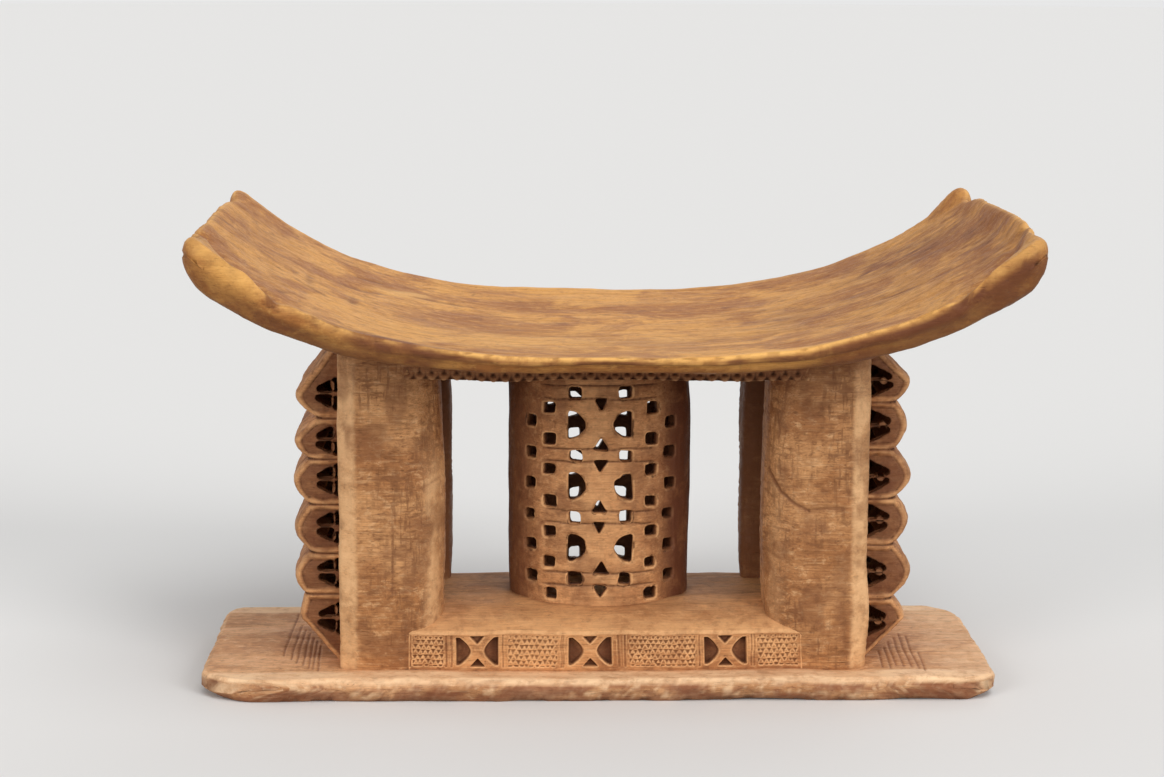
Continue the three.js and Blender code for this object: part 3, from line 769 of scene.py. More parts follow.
def make_pillar(name, side, end):
    """A pillar, where side is 1 at the right and end is 1 in front."""
    low, high = node_box(name)
    extra = max(0, pillar_inner - (stance_reach - (high[0] - low[0]) + PILLAR_SWELL))
    x_in_plan, y_in_plan = pillar_plan().T
    shares = np.linspace(0, 1, PILLAR_LEVELS)[:, None]
    swell = PILLAR_SWELL * (1 - (2 * shares - 1) ** 2)
    inward = (stance_reach - x_in_plan) / (stance_reach - pillar_inner)
    x = stance_x + side * (x_in_plan - (swell + extra) * inward)
    y = -end * y_in_plan + 0 * shares
    bottom = base_top - ROOT
    z = bottom + shares * (under_seat(x, y) + ROOT - bottom)
    mesh = new_mesh(name, *skin(np.stack([x, y, z], -1)))
    seed = 70 + 4 * side + 2 * end

    def marks(p):
        x, y, z = p.T
        across, front = side * (x - stance_x), -end * y
        rasp = 0.28 * noise(p, (13, 13, 1.7), seed + 40, 2)
        relief = uneven(p, [(0.55, (17, 17, 46), seed, 2), (0.15, (1.7, 1.7, 24), seed + 20, 2)])
        relief += rasp * patches(p, 24, seed + 30, -0.25, 0.3, 2) + 0.1 * noise(p, 2.6, seed + 50)
        crack = 0 * x
        for path, deep, wide in PILLAR_CRACKS.get(name, []):
            reach, deep = from_path(x, z, path), deep * (front > stance_side - 14)
            relief -= deep * bell(reach, wide)
            crack = most(crack, deep * bell(reach, wide * 1.3))
        clouds = 0.55 * patches(p, (20, 20, 26), seed + 60)
        # Painted shade under the seat.
        shade = ease(z, *PILLAR_SHADE) * (0.3 + 0.35 * noise(p, 16, seed + 61, 3))
        # Painted shade at the foot, where the pillar meets the base.
        foot = 0.5 * fade(z, base_top, base_top + 3.0)
        # The rear pillars' faces towards the front are darkened: painted shade under the seat.
        rear_shade = (end < 0) * fade(front, stance_side - 38, stance_side - 20)
        # The right pillars' inner bevels are darkened towards the top: painted shade.
        bevel_shade = 0.85 * (side > 0) * ease(z, *BEVEL_SHADE) * fade(across, *BEVEL_SHADE_END)
        # The arrises of the front pillars are paler: rubbed wear and painted light, the left
        # pillars' inner bevels most, as painted light.
        outer = ease(across, stance_reach - 13, stance_reach - 9)
        outer *= ease(front, *OUTER_PALE_START)
        inner = bell(across - pillar_inner - 4, 5) * (0.3 if side > 0 else 1.0)
        inner *= ease(front, stance_side - 40, stance_side - 18) * fade(z, *INNER_PALE_END)
        rubbed = most(outer, inner) * (0.9 + 0.3 * noise(p, (8, 8, 30), seed + 62, 2))
        pale = (end > 0) * rubbed * (1 - 0.6 * ease(z, *PILLAR_PALE_END))
        return relief, most(clouds, shade, foot, np.clip(crack, 0, 0.9), rear_shade, bevel_shade), pale

    finish_piece(name + "_carved", name, mesh, "pillar_wood", marks, chip=0.6)


# Plinth and its frieze, drawn across the front with X to the right and Z up: the crossed motifs,
# the fields of punched triangles and the scored borders.
MOTIF_CENTRES = (-82.8, -10.9, 75.4)
MOTIF_HALF = 13.4
MOTIF_DEPTH = 5.0
FRIEZE_INSET = 2.6
FRIEZE_ENDS = (-126.6, 124.3)
FRIEZE_END_SINK = 1.4
PUNCHED = [(-124.5, -105.0), (-63.0, -32.0), (14.0, 56.0), (96.5, 122.0)]
PUNCH_PITCH = 3.35
PUNCH_ROW = 3.3
PUNCH_DEPTH = 0.8
PUNCH_SIZE = 1.4
# The way a slanted side of an even-sided triangle faces, outwards and down, and how much narrower
# the punched triangles are.
PUNCH_FACING = (0.87, 0.5)
PUNCH_NARROWING = 1.15
BORDERS = (-126.2, -103.0, -99.5, -66.0, -29.0, -28.0, 7.0, 11.0, 58.5, 92.3, 94.0)
BORDER_DEPTH = 0.35
# Unevenness of the plinth's top and of its faces.
PLINTH_GRAIN = [(0.45, (26, 14, 14), 91, 2), (0.12, (20, 2.2, 2.2), 92, 2)]
PLINTH_FACES = [(0.12, 6, 93, 2)]
# How far round the crown goes to its arrises.
CROWN_SHARE = 0.984


def frieze_depth(x, z):
    """Depth of the carving on the plinth's front, and how much of it is a deep recess."""
    half = PLINTH_FRONT / 2 - FRIEZE_INSET
    up = z - (base_top + PLINTH_FRONT / 2)
    depth, deep = 0 * x, 0 * x
    for low, high in PUNCHED:
        row = np.round(up / PUNCH_ROW)
        slide = np.where(row % 2 == 0, 0, PUNCH_PITCH / 2)
        column = np.round((x - low - slide) / PUNCH_PITCH)
        wander = np.stack([column * 3.1, row * 5.3, 0 * row + low], 1)
        off_x = x - low - slide - column * PUNCH_PITCH - 0.5 * noise(wander, 1.7, 81)
        off_z = up - row * PUNCH_ROW - 0.4 * noise(wander, 1.7, 82)
        size = PUNCH_SIZE + 0.3 * noise(wander, 1.7, 83)
        outwards, down = PUNCH_FACING
        slanted = outwards * np.abs(off_x) * PUNCH_NARROWING - down * off_z
        slope = np.maximum(off_z, slanted)
        punch = np.clip((size - slope * 1.25) / size, 0, 1)
        inside = (x > low) & (x < high) & (np.abs(up) < half)
        depth = np.where(inside, most(depth, PUNCH_DEPTH * np.minimum(punch * 1.8, 1)), depth)
    rise = np.abs(up) / half
    for centre in MOTIF_CENTRES:
        across = np.abs(x - centre) / MOTIF_HALF
        # The eyes' inner edges bow towards the middle, and the triangles point at it.
        eye = ease(across - (0.30 + 0.62 * rise**1.7), -0.01, 0.09) * fade(across, 0.97, 1.03)
        eye *= fade(rise, 0.86, 0.93) * (0.55 + 0.45 * ease(across, 0.3, 0.8))
        wedge = ease(rise - 0.46 - 1.5 * across, -0.02, 0.08) * fade(rise, 0.95, 1.02)
        deep = most(deep, eye, wedge * 0.75)
    for border in BORDERS:
        wander = 0.3 * noise(np.stack([0 * x + border, z, 0 * z], 1), 9, 84)
        cut = np.clip(1 - np.abs(x - border - wander), 0, 1) * (np.abs(up) < half + 0.6)
        depth = most(depth, BORDER_DEPTH * cut)
    # Beyond its ends the frieze's face sinks into the pillars.
    start, end = FRIEZE_ENDS
    ends = most(ease(-x, -start, 1 - start), ease(x, end, end + 1))
    return most(depth, MOTIF_DEPTH * deep, FRIEZE_END_SINK * ends), deep


def make_plinth():
    x = spaced([plinth_low[0] - ROOT, plinth_high[0] + ROOT], [0.5])[:, None]
    front = np.linspace(base_top - ROOT, plinth_front_top - 1.2, 62)
    across = np.sin(np.linspace(-math.pi / 2, math.pi / 2, 60)) * CROWN_SHARE
    crown = plinth_front_top + PLINTH_CROWN * (1 - np.abs(across) ** PLINTH_CROWN_POWER)
    below = np.linspace(1, -1, 12)[1:-1]
    y = np.concatenate([0 * front - 1, across, 0 * front + 1, below]) * stance_side
    z = np.concatenate([front, crown, front[::-1], 0 * below + base_top - ROOT])
    points = np.stack(np.broadcast_arrays(x, y, z), -1)
    across_x, y, z = points.reshape(-1, 3).T
    face = (np.abs(np.abs(y) - stance_side) < 0.2) & (z < plinth_front_top - 0.5)
    end = np.sign(-y)
    depth, deep = frieze_depth(stance_x + (across_x - stance_x) * end, z)
    points[..., 1] += np.where(face, depth * end, 0).reshape(points.shape[:2])
    mesh = new_mesh("plinth_top", *skin(points, zipped=False))
    carved = np.clip(np.where(face, np.maximum(deep, depth / 2.0), 0), 0, 1)

    def marks(p):
        x, y, z = p.T
        on_top = ease(z, plinth_front_top - 1, plinth_front_top + 2)
        relief = on_top * uneven(p, PLINTH_GRAIN)
        relief += (1 - on_top) * uneven(p, PLINTH_FACES) * (1 - carved)
        # Painted shade at the foot, where the plinth meets the base, and in a ring round the
        # column's foot.
        foot = 0.3 * fade(z, base_top, base_top + 2.5)
        from_column = np.hypot((x - column_x) / COLUMN_HALF_WIDTH, y / COLUMN_HALF_DEPTH) - 1
        ring = 0.55 * ease(z, plinth_front_top, plinth_front_top + 3) * bell(from_column, 0.09)
        pale = 0.6 + 0.4 * ease(np.abs(y), stance_side - 30, stance_side - 8)
        pale *= ease(z, plinth_front_top - 2, plinth_front_top)
        pale *= 0.75 + 0.25 * noise(p, (30, 9, 9), 94, 2)
        return relief, most(carved * 0.9, foot, ring), pale

    options = {"chip": 0.12, "dirt_and_shade": 0.6, "spread": 2}
    finish_piece("plinth_carved", "plinth", mesh, "carved_wood", marks, **options)


# Block under the seat, with two staggered rows of nicks along its front and back: the height of
# each row and how far it is shifted, as a share of the pitch.
NICK_ROWS = [(1.6, 0.0), (4.6, 0.5)]
NICK_PITCH = 7.6
NICK_SIZE = 2.1
NICK_DEPTH = 1.8


def make_block():
    x = spaced([block_low[0] - ROOT, block_high[0] + ROOT], [0.9])[:, None]
    rows = np.linspace(0, 1, 18)
    below = np.linspace(1, -1, 44)[1:-1]
    above = np.linspace(-1, 1, 18)[1:-1]
    y = np.concatenate([0 * rows + 1, below, 0 * rows - 1, above]) * stance_side
    share = np.concatenate([rows[::-1], 0 * below, rows, 0 * above + 1])
    x, y, share = np.broadcast_arrays(x, y, share)
    z = block_bottom + share * (under_seat(x, y) + ROOT - block_bottom)
    mesh = new_mesh("block_top", *skin(np.stack([x, y, z], -1), zipped=False))

    def marks(p):
        x, y, z = p.T
        nicks = 0 * x
        for height, slide in NICK_ROWS:
            turn = x / NICK_PITCH + slide
            off_x = (turn - np.round(turn)) * NICK_PITCH
            off_z = z - block_bottom - height
            reach = np.maximum(np.abs(off_x) * 0.9 + off_z * 0.4, -off_z)
            nicks = most(nicks, np.clip(1 - reach / NICK_SIZE, 0, 1))
        nicks *= np.abs(y) > stance_side - 1
        # The block is darker all over and darkest in its nicks: painted shade under the seat and in
        # the nicks.
        return 0.3 * noise(p, 14, 95, 2) - NICK_DEPTH * nicks, 0.45 + 0.5 * nicks, 0 * x

    finish_piece("block_carved", "under_seat_block", mesh, "carved_wood", marks, chip=0.4)


# Pierced members: the cutters are taken out of a fine skin, which is then remeshed evenly. A
# cutter's depth is a share of the wall. Its corners and its place wander by a spread and a limit.
CUT_SHARE = 1.35
WIDE_WANDER = (0.35, 0.6)
CLOSE_WANDER = (0.3, 0.5)


def wander(random, shape, spread, limit):
    return random.normal(0, spread, shape).clip(-limit, limit)


def prism(outline, depth):
    """Points and faces of a prism: an outline across X and Z, from -depth to depth along Y."""
    following = np.roll(outline, -1, 0)
    if np.sum(outline[:, 0] * following[:, 1] - following[:, 0] * outline[:, 1]) > 0:
        outline = outline[::-1]
    count = len(outline)
    front = np.stack([outline[:, 0], 0 * outline[:, 0] - depth, outline[:, 1]], 1)
    here = np.arange(count)
    following = (here + 1) % count
    faces = [[h, f, f + count, h + count] for h, f in zip(here, following)]
    points = np.concatenate([front, front + [0, 2 * depth, 0]])
    return points, faces + [list(here[::-1]), list(here + count)]


def turned(points, heading):
    """The points, turned about Z."""
    cos, sin = math.cos(heading), math.sin(heading)
    return points @ np.array([[cos, sin, 0], [-sin, cos, 0], [0, 0, 1]])


def pierced(name, points, faces, cutters, voxel):
    """A mesh of the skin with the cutters taken out, remeshed with faces of one size."""
    body = bpy.data.objects.new(name, new_mesh(name, points, faces))
    cutter_mesh = bpy.data.meshes.new(name + "_cuts")
    all_points, all_faces, start = [], [], 0
    for cut_points, cut_faces in cutters:
        all_points.append(cut_points / MM)
        all_faces += [[start + corner for corner in face] for face in cut_faces]
        start += len(cut_points)
    cutter_mesh.from_pydata(np.concatenate(all_points).tolist(), [], all_faces)
    cutter_mesh.update()
    cutter = bpy.data.objects.new(name + "_cuts", cutter_mesh)
    for thing in (body, cutter):
        bpy.context.scene.collection.objects.link(thing)
    cut = body.modifiers.new("cut", "BOOLEAN")
    cut.object, cut.operation, cut.solver = cutter, "DIFFERENCE", "MANIFOLD"
    even = body.modifiers.new("even", "REMESH")
    even.mode, even.voxel_size = "VOXEL", voxel / MM
    graph = bpy.context.evaluated_depsgraph_get()
    mesh = bpy.data.meshes.new_from_object(body.evaluated_get(graph))
    bpy.data.objects.remove(body)
    bpy.data.objects.remove(cutter)
    edges = edges_of(mesh)
    set_points(mesh, np.stack([blurred(axis, edges, 1) for axis in points_of(mesh).T], 1))
    return mesh


# Column: its holes are the same on the back as on the front.
MOTIF_SPAN = 20.0
EYE_WIDTH = 11.6
EYE_HEIGHT = 18.6
EYE_ROUNDNESS = 0.6
TRIANGLE = 10.6
TRIANGLE_HEIGHT = 9.6
UPPER_TRIANGLE_SHARE = 0.86
TRIANGLE_REACH = 12.5
FOOT_TRIANGLE_DROP = 29.0
SQUARE_WIDTH = 8.3
SQUARE_HEIGHT = 7.2
# Upright rows of squares on each side: the place across as a share of the half width, the number
# of squares, how far the first stands above the uppermost motif's middle and how far apart they
# are, in pitches, and how much lower the squares on the back stand.
SQUARE_ROWS = [
    (0.28, MOTIFS + 1, 1 / 2, 1, 0.0),
    (0.56, 2 * MOTIFS + 1, 1 / 4, 1 / 2, 5.8),
    (0.76, 2 * MOTIFS, 0, 1 / 2, 2.3),
]
COLUMN_VOXEL = 0.82
COLUMN_GRAIN = [(0.35, (11, 11, 30), 101, 2), (0.12, (2.2, 2.2, 8), 102, 2)]
# Lines scored above and below each motif's borders.
SCORING_OFFSET = 4.1
SCORING_WIDTH = 1.2
SCORING_DEPTH = 0.95


def rectangle(wide, high):
    wide, high = wide / 2, high / 2
    return [(-wide, -high), (wide, -high), (wide, high), (-wide, high)]


def triangle_outline(up, offset):
    share = 1.0 if up > 0 else UPPER_TRIANGLE_SHARE
    half, height = share * TRIANGLE / 2, share * TRIANGLE_HEIGHT / 2
    return [(-half, offset - up * height), (half, offset - up * height), (0, offset + up * height)]


def eye_outline(side):
    """A D with its flat side outwards."""
    rise = np.sin(np.linspace(-math.pi / 2, math.pi / 2, 13))
    inward = EYE_WIDTH * (1 - rise**2) ** EYE_ROUNDNESS
    return [(side * (MOTIF_SPAN - x), y * EYE_HEIGHT / 2) for x, y in zip(inward, rise)]


def column_holes():
    """Every hole on the front: outline, place across as a share, height, and drop on the back."""
    holes = []
    for motif in range(MOTIFS):
        height = motif_top - motif * motif_pitch
        upper, lower = triangle_outline(-1, TRIANGLE_REACH), triangle_outline(1, -TRIANGLE_REACH)
        for outline in (eye_outline(-1), eye_outline(1), upper, lower):
            holes.append((outline, 0.0, height, 0.0))
    foot = motif_top - (MOTIFS - 1) * motif_pitch - FOOT_TRIANGLE_DROP
    holes.append((triangle_outline(-1, 0), 0.0, foot, 0.0))
    square = rectangle(SQUARE_WIDTH, SQUARE_HEIGHT)
    for side in (-1, 1):
        for share, count, first, step, drop in SQUARE_ROWS:
            for row in range(count):
                height = motif_top + motif_pitch * first - row * motif_pitch * step
                holes.append((square, side * share, height, drop))
    return holes


def make_column():
    turns = np.linspace(0, 2 * math.pi, 181)[:-1][None, :]
    bottom, top = plinth_front_top - ROOT, block_bottom + ROOT
    levels = np.linspace(0, 1, 40)[:, None]

    def wall(inset, low, high):
        swell = COLUMN_SWELL * (1 - (2 * levels - 1) ** 2) - inset
        x = column_x + (COLUMN_HALF_WIDTH + swell) * np.cos(turns)
        y = (COLUMN_HALF_DEPTH + swell) * np.sin(turns)
        return np.stack([x, y, low + levels * (high - low) + 0 * turns], -1)

    points, faces = tube(np.concatenate([wall(0, bottom, top), wall(COLUMN_WALL, top, bottom)]))
    cutters = []
    random = np.random.default_rng(5)
    for outline, share, height, drop in column_holes():
        angle = math.asin(share)
        deep = COLUMN_HALF_DEPTH * math.cos(angle)
        heading = math.atan2(COLUMN_HALF_DEPTH * share, COLUMN_HALF_WIDTH * math.cos(angle))
        for end in (1, -1):
            corners = outline + wander(random, (len(outline), 2), *WIDE_WANDER)
            cut_points, cut_faces = prism(corners, CUT_SHARE * COLUMN_WALL)
            cut_points = turned(cut_points, heading + (math.pi if end < 0 else 0))
            level = height - (drop if end < 0 else 0)
            place = [end * COLUMN_HALF_WIDTH * share, -end * deep, level]
            shift = wander(random, 3, *CLOSE_WANDER)
            cutters.append((cut_points + [column_x, 0, 0] + place + shift, cut_faces))
    mesh = pierced("column_top", points, faces, cutters, COLUMN_VOXEL)

    def marks(p):
        x, y, z = p.T
        share = (x - column_x) / COLUMN_HALF_WIDTH
        outside = ease(np.hypot(share, y / COLUMN_HALF_DEPTH), 0.94, 0.98)
        scored = 0 * x
        wander = 0.4 * noise(p, 12, 103)
        for row in range(MOTIFS + 1):
            for offset in (-SCORING_OFFSET, SCORING_OFFSET):
                level = motif_top + motif_pitch / 2 - row * motif_pitch + offset
                scored = most(scored, np.clip(1 - np.abs(z - level - wander) / SCORING_WIDTH, 0, 1))
        scored *= fade(np.abs(share), 0.55, 0.7) * outside
        clouds = 0.4 * patches(p, (16, 16, 22), 104)
        # The top under the block, the flanks and the inside of the tube are darker: painted shade,
        # with patina on the flanks.
        ends = 0.5 * ease(z, block_bottom - 8, block_bottom)
        flank = ease(share, 0.5, 0.86) + 0.85 * ease(-share, 0.6, 0.9)
        stain_and_shade = most((1 - outside) * 0.9, clouds, ends, flank, 0.85 * scored)
        # The middle of the front and a thin strip at its left edge are paler: painted light.
        pale = outside * (0.5 * bell(share + 0.05, 0.45) + 0.5 * bell(share + 0.97, 0.04))
        return uneven(p, COLUMN_GRAIN) - SCORING_DEPTH * scored, stain_and_shade, pale

    options = {"chip": 0.5, "spread": 2}
    finish_piece("column_carved", "central_column", mesh, "carved_wood", marks, **options)


# Side screens: the openings round each ridge, the left ones with an upright strut from near to
# far and the right ones with a square hole in the bar between them.
OPENING_REACH = 16.0
OPENING_HEIGHT = 8.0
OPENING_BAR = 4.0
OPENING_MARGIN = 0.6
STRUT = (2.8, 4.6)
BAR_HOLE = 2.4
BAR_HOLE_AT = 9.5
REAR_OPENING_DEPTH = 5.0
# A rim stands round the front and back face of each lobe: its width, how much wider it is along
# the creases, and how far the face inside it is cut back. FACES says how far from the middle the
# faces begin.
RIM = 2.2
RIDGE = 1.5
RIM_HEIGHT = 1.6
CREASE_DEPTH = 0.7
FACES = (32, 38)
SCREEN_VOXEL = 0.8


def lobe_reach(side, z):
    """How far a screen's outer face stands out beyond the pillars at a height."""
    reach = np.full(z.shape, SCREEN_END_REACH)
    below = [(base_top, SCREEN_END_REACH)] + CREASES[side]
    above = CREASES[side] + [(SCREEN_END, SCREEN_END_REACH)]
    for (height, tip), low, high in zip(RIDGES[side], below, above):
        for (end_height, end_reach), roundness in zip((low, high), LOBE_ROUNDNESS[side]):
            share = (z - height) / (end_height - height)
            power = 1.0 if end_reach == SCREEN_END_REACH else roundness
            lobe = tip + (end_reach - tip) * np.clip(share, 0, 1) ** power
            reach = np.where((share >= 0) & (share <= 1), lobe, reach)
    return reach


def screen_place(side, turn, depth, z):
    """Places on a screen's wall, at a turn from 0 in front to 1 at the rear, and at a depth."""
    power = 2 / SCREEN_SQUARENESS
    sine, cosine = np.sin(math.pi * turn).clip(0, 1), np.cos(math.pi * turn)
    bow = SCREEN_ROOT + lobe_reach(side, z) - depth
    x = stance_x + side * (stance_reach - SCREEN_ROOT + bow * sine**power)
    y = (depth - screen_side) * np.sign(cosine) * np.abs(cosine) ** power
    return np.stack(np.broadcast_arrays(x, y, z), -1)


def screen_turns():
    """The turns of a screen's sections, about evenly spaced along its wall."""
    power = SCREEN_SQUARENESS / 2
    rising = np.arcsin(np.linspace(0, 0.85, 40) ** power) / math.pi
    last = math.cos(math.pi * rising[-1]) ** (1 / power)
    across = np.linspace(last, -last, 100)[1:-1]
    crossing = np.arccos(np.sign(across) * np.abs(across) ** power) / math.pi
    return np.concatenate([rising, crossing, 1 - rising[::-1]])[:, None]


def opening_outlines(side, end):
    """The openings round one ridge, across X from the pillars' edge and up from the ridge."""
    away = side * end
    tip = OPENING_MARGIN + OPENING_REACH
    outlines = []
    for above in (-1, 1):
        low = above * OPENING_BAR / 2
        edges = [OPENING_MARGIN, *STRUT] if side < 0 else [OPENING_MARGIN]
        high = [low + above * OPENING_HEIGHT * (tip - edge) / OPENING_REACH for edge in edges]
        if side < 0:
            near = edges[1]
            stub = [(edges[0], low), (near, low), (near, high[1]), (edges[0], high[0])]
            outlines.append([(away * reach, up) for reach, up in stub])
        first = edges[-1]
        outlines.append([(away * first, low), (away * tip, low), (away * first, high[-1])])
    if side > 0:
        hole = rectangle(BAR_HOLE, BAR_HOLE)
        outlines.append([(away * BAR_HOLE_AT + across, up) for across, up in hole])
    return outlines


def make_screen(name, node, side):
    top = under_seat(stance_x + side * stance_reach, 0.0) + ROOT
    z = np.linspace(base_top - ROOT, top, 300)[None, :]
    turns = screen_turns()
    outer, inner = (screen_place(side, turns, depth, z) for depth in (0, SCREEN_WALL))
    points, faces = skin(np.concatenate([outer, inner[:, ::-1]], 1))
    cutters = []
    random = np.random.default_rng(11 + side)
    for height, _ in RIDGES[side]:
        for end in (-1, 1):
            deep = CUT_SHARE * SCREEN_WALL if end > 0 else REAR_OPENING_DEPTH
            place = [stance_x + side * stance_reach, -end * screen_side, height]
            for outline in opening_outlines(side, end):
                corners = outline + wander(random, (len(outline), 2), *CLOSE_WANDER)
                cut_points, cut_faces = prism(corners, deep)
                cut_points = turned(cut_points, 0 if end > 0 else math.pi)
                cutters.append((cut_points + place, cut_faces))
    mesh = pierced(name + "_top", points, faces, cutters, SCREEN_VOXEL)

    def marks(p):
        x, y, z = p.T
        on_faces = ease(np.abs(y), *FACES)
        from_outline = lobe_reach(side, z) - side * (x - stance_x) + stance_reach
        from_crease = np.min([np.abs(z - height) for height, _ in CREASES[side]], 0)
        ridge = RIDGE * (1 + 0.5 * noise(p, 8, 116 + side, 2))
        face = ease(np.minimum(from_outline, from_crease + RIM - ridge), RIM, RIM + 3.0) * on_faces
        crease = bell(from_crease, 0.9) * on_faces
        relief = uneven(p, [(0.3, (9, 14, 9), 110 + side, 2), (0.12, 2.4, 111 + side)])
        relief -= RIM_HEIGHT * face + CREASE_DEPTH * crease
        # The walls inside, behind the faces, are darker: painted shade.
        inside = 0.6 * fade(np.abs(y), screen_side - 6, screen_side - 3)
        inside *= ease(from_outline, 4.0, 7.0)
        clouds = 0.4 * patches(p, 18, 114)
        rims = 0.8 * (1 - face) * (1 - crease) * on_faces * patches(p, 9, 115, -0.4, 0.4, 2)
        return relief, most(inside, face * 0.8, crease * 0.9, clouds), rims

    finish_piece(name, node, mesh, "carved_wood", marks, chip=0.4, spread=2)


# Materials. A wood's tones, in sRGB: pale, deep, the lines of its grain, the dirt and painted shade
# in its creases, its patina, which also paints shade, and the pale of rubbed places and painted
# light.
TONES = ("pale", "deep", "line", "dirt_and_shade", "patina_and_shade", "worn_and_lit")
# Then its roughness, the drift from pale to deep in features to the metre along each axis, and
# how strong its rasp marks, streaks, fibres, mottle, and rubbed places and painted light are.
TRAITS = ("rough", "drift", "hatch", "streaks", "fibre", "mottle", "rub_and_light")
WOODS = {
    "seat_wood": (
        [(220, 158, 82), (170, 109, 53), (116, 67, 30),
         (52, 28, 14), (106, 58, 30), (246, 190, 108)],
        [0.58, (15, 19, 19), 0.0, 0.20, 0.20, 0.34, 0.75],
    ),
    "pillar_wood": (
        [(214, 156, 102), (178, 120, 72), (112, 68, 38),
         (54, 30, 16), (126, 78, 46), (238, 188, 136)],
        [0.62, (14, 24, 24), 1.0, 0.40, 0.38, 0.60, 0.90],
    ),
    "carved_wood": (
        [(216, 154, 100), (178, 118, 72), (116, 70, 40),
         (44, 23, 12), (100, 55, 32), (240, 184, 128)],
        [0.66, (14, 24, 24), 0.35, 0.45, 0.38, 0.50, 0.70],
    ),
    "base_wood": (
        [(236, 180, 130), (204, 146, 98), (136, 86, 54),
         (64, 38, 24), (136, 78, 52), (255, 216, 172)],
        [0.64, (12, 26, 26), 0.25, 0.45, 0.36, 0.50, 0.95],
    ),
}
# Noises: features to the metre along each axis, detail, roughness and distortion.
TEXTURES = {
    "mottle": ((130, 190, 190), 5.0, 0.7, 0.3),
    "streak": ((13, 210, 210), 7.0, 0.68, 0.4),
    "fibre": ((60, 1100, 1100), 4.0, 0.6, 0.0),
    "pale_fibre": ((36, 600, 600), 5.0, 0.6, 0.0),
    "pores": ((190, 1500, 1500), 2.0, 0.5, 0.0),
    "patch": ((34, 34, 22), 3.0, 0.6, 0.0),
    "level": ((70, 70, 330), 3.0, 0.6, 0.0),
    "upright": ((330, 330, 48), 3.0, 0.6, 0.0),
    "blotch": ((44, 58, 58), 7.0, 0.7, 0.6),
    "speck": ((260, 320, 320), 3.0, 0.6, 0.0),
    "scuff": ((100, 100, 100), 5.0, 0.7, 0.0),
}
# Layers of colour under and over the rasp marks: the noise, the two values of it between which
# the layer's strength goes from one share to another, and the tone.
UNDER_LAYERS = [
    ("mottle", 0.50, 0.68, 0.0, "mottle", "line"),
    ("mottle", 0.32, 0.48, "mottle", 0.0, "worn_and_lit"),
    ("streak", 0.52, 0.68, 0.0, "streaks", "line"),
    ("fibre", 0.32, 0.62, "fibre", 0.0, "line"),
    ("pale_fibre", 0.54, 0.72, 0.0, "fibre", "worn_and_lit"),
    ("pores", 0.64, 0.74, 0.0, 0.5, "dirt_and_shade"),
]
OVER_LAYERS = [
    ("blotch", 0.55, 0.68, 0.0, 0.42, "patina_and_shade"),
    ("speck", 0.64, 0.72, 0.0, 0.55, "patina_and_shade"),
]
# How much each noise adds to the height of the surface.
BUMPS = {"fibre": 0.6, "streak": 0.9, "mottle": 0.8}


def linear(colour):
    """An sRGB colour from 0 to 255 as the linear colour that a shader takes."""
    shares = np.array(colour) / 255
    curved = np.where(shares <= 0.04045, shares / 12.92, ((shares + 0.055) / 1.055) ** 2.4)
    return [*curved.tolist(), 1.0]


class Nodes:
    """Adds nodes to one material. An input is a value, or another node's output."""

    def __init__(self, material):
        material.use_nodes = True
        self.tree = material.node_tree
        self.tree.nodes.clear()

    def add(self, kind, settings=(), **inputs):
        node = self.tree.nodes.new("ShaderNode" + kind)
        for key, value in dict(settings).items():
            setattr(node, key, value)
        for key, value in inputs.items():
            socket = node.inputs[int(key[1:]) if key[1:].isdigit() else key.replace("_", " ")]
            if isinstance(value, bpy.types.NodeSocket):
                self.tree.links.new(value, socket)
            else:
                socket.default_value = value
        return node

    def noise(self, vector, stretch, detail, roughness, distortion):
        """Noise from 0 to 1, with the given number of features to the metre along each axis."""
        scaled = self.add("VectorMath", {"operation": "MULTIPLY"}, i0=vector, i1=stretch)
        shape = {"Detail": detail, "Roughness": roughness, "Distortion": distortion}
        return self.add("TexNoise", Vector=scaled.outputs[0], Scale=1.0, **shape).outputs[0]

    def ramp(self, value, low, high, start=0.0, end=1.0):
        smooth = {"interpolation_type": "SMOOTHSTEP"}
        return self.add("MapRange", smooth, i0=value, i1=low, i2=high, i3=start, i4=end).outputs[0]

    def mask(self, name):
        return self.add("Attribute", {"attribute_name": name}).outputs["Fac"]

    def math(self, operation, first, *others):
        for other in others:
            first = self.add("Math", {"operation": operation}, i0=first, i1=other).outputs[0]
        return first

    def product(self, *values):
        return self.math("MULTIPLY", *values)

    def mix(self, share, first, second):
        return self.add("Mix", {"data_type": "RGBA"}, i0=share, i6=first, i7=second).outputs[2]


WOOD = {}


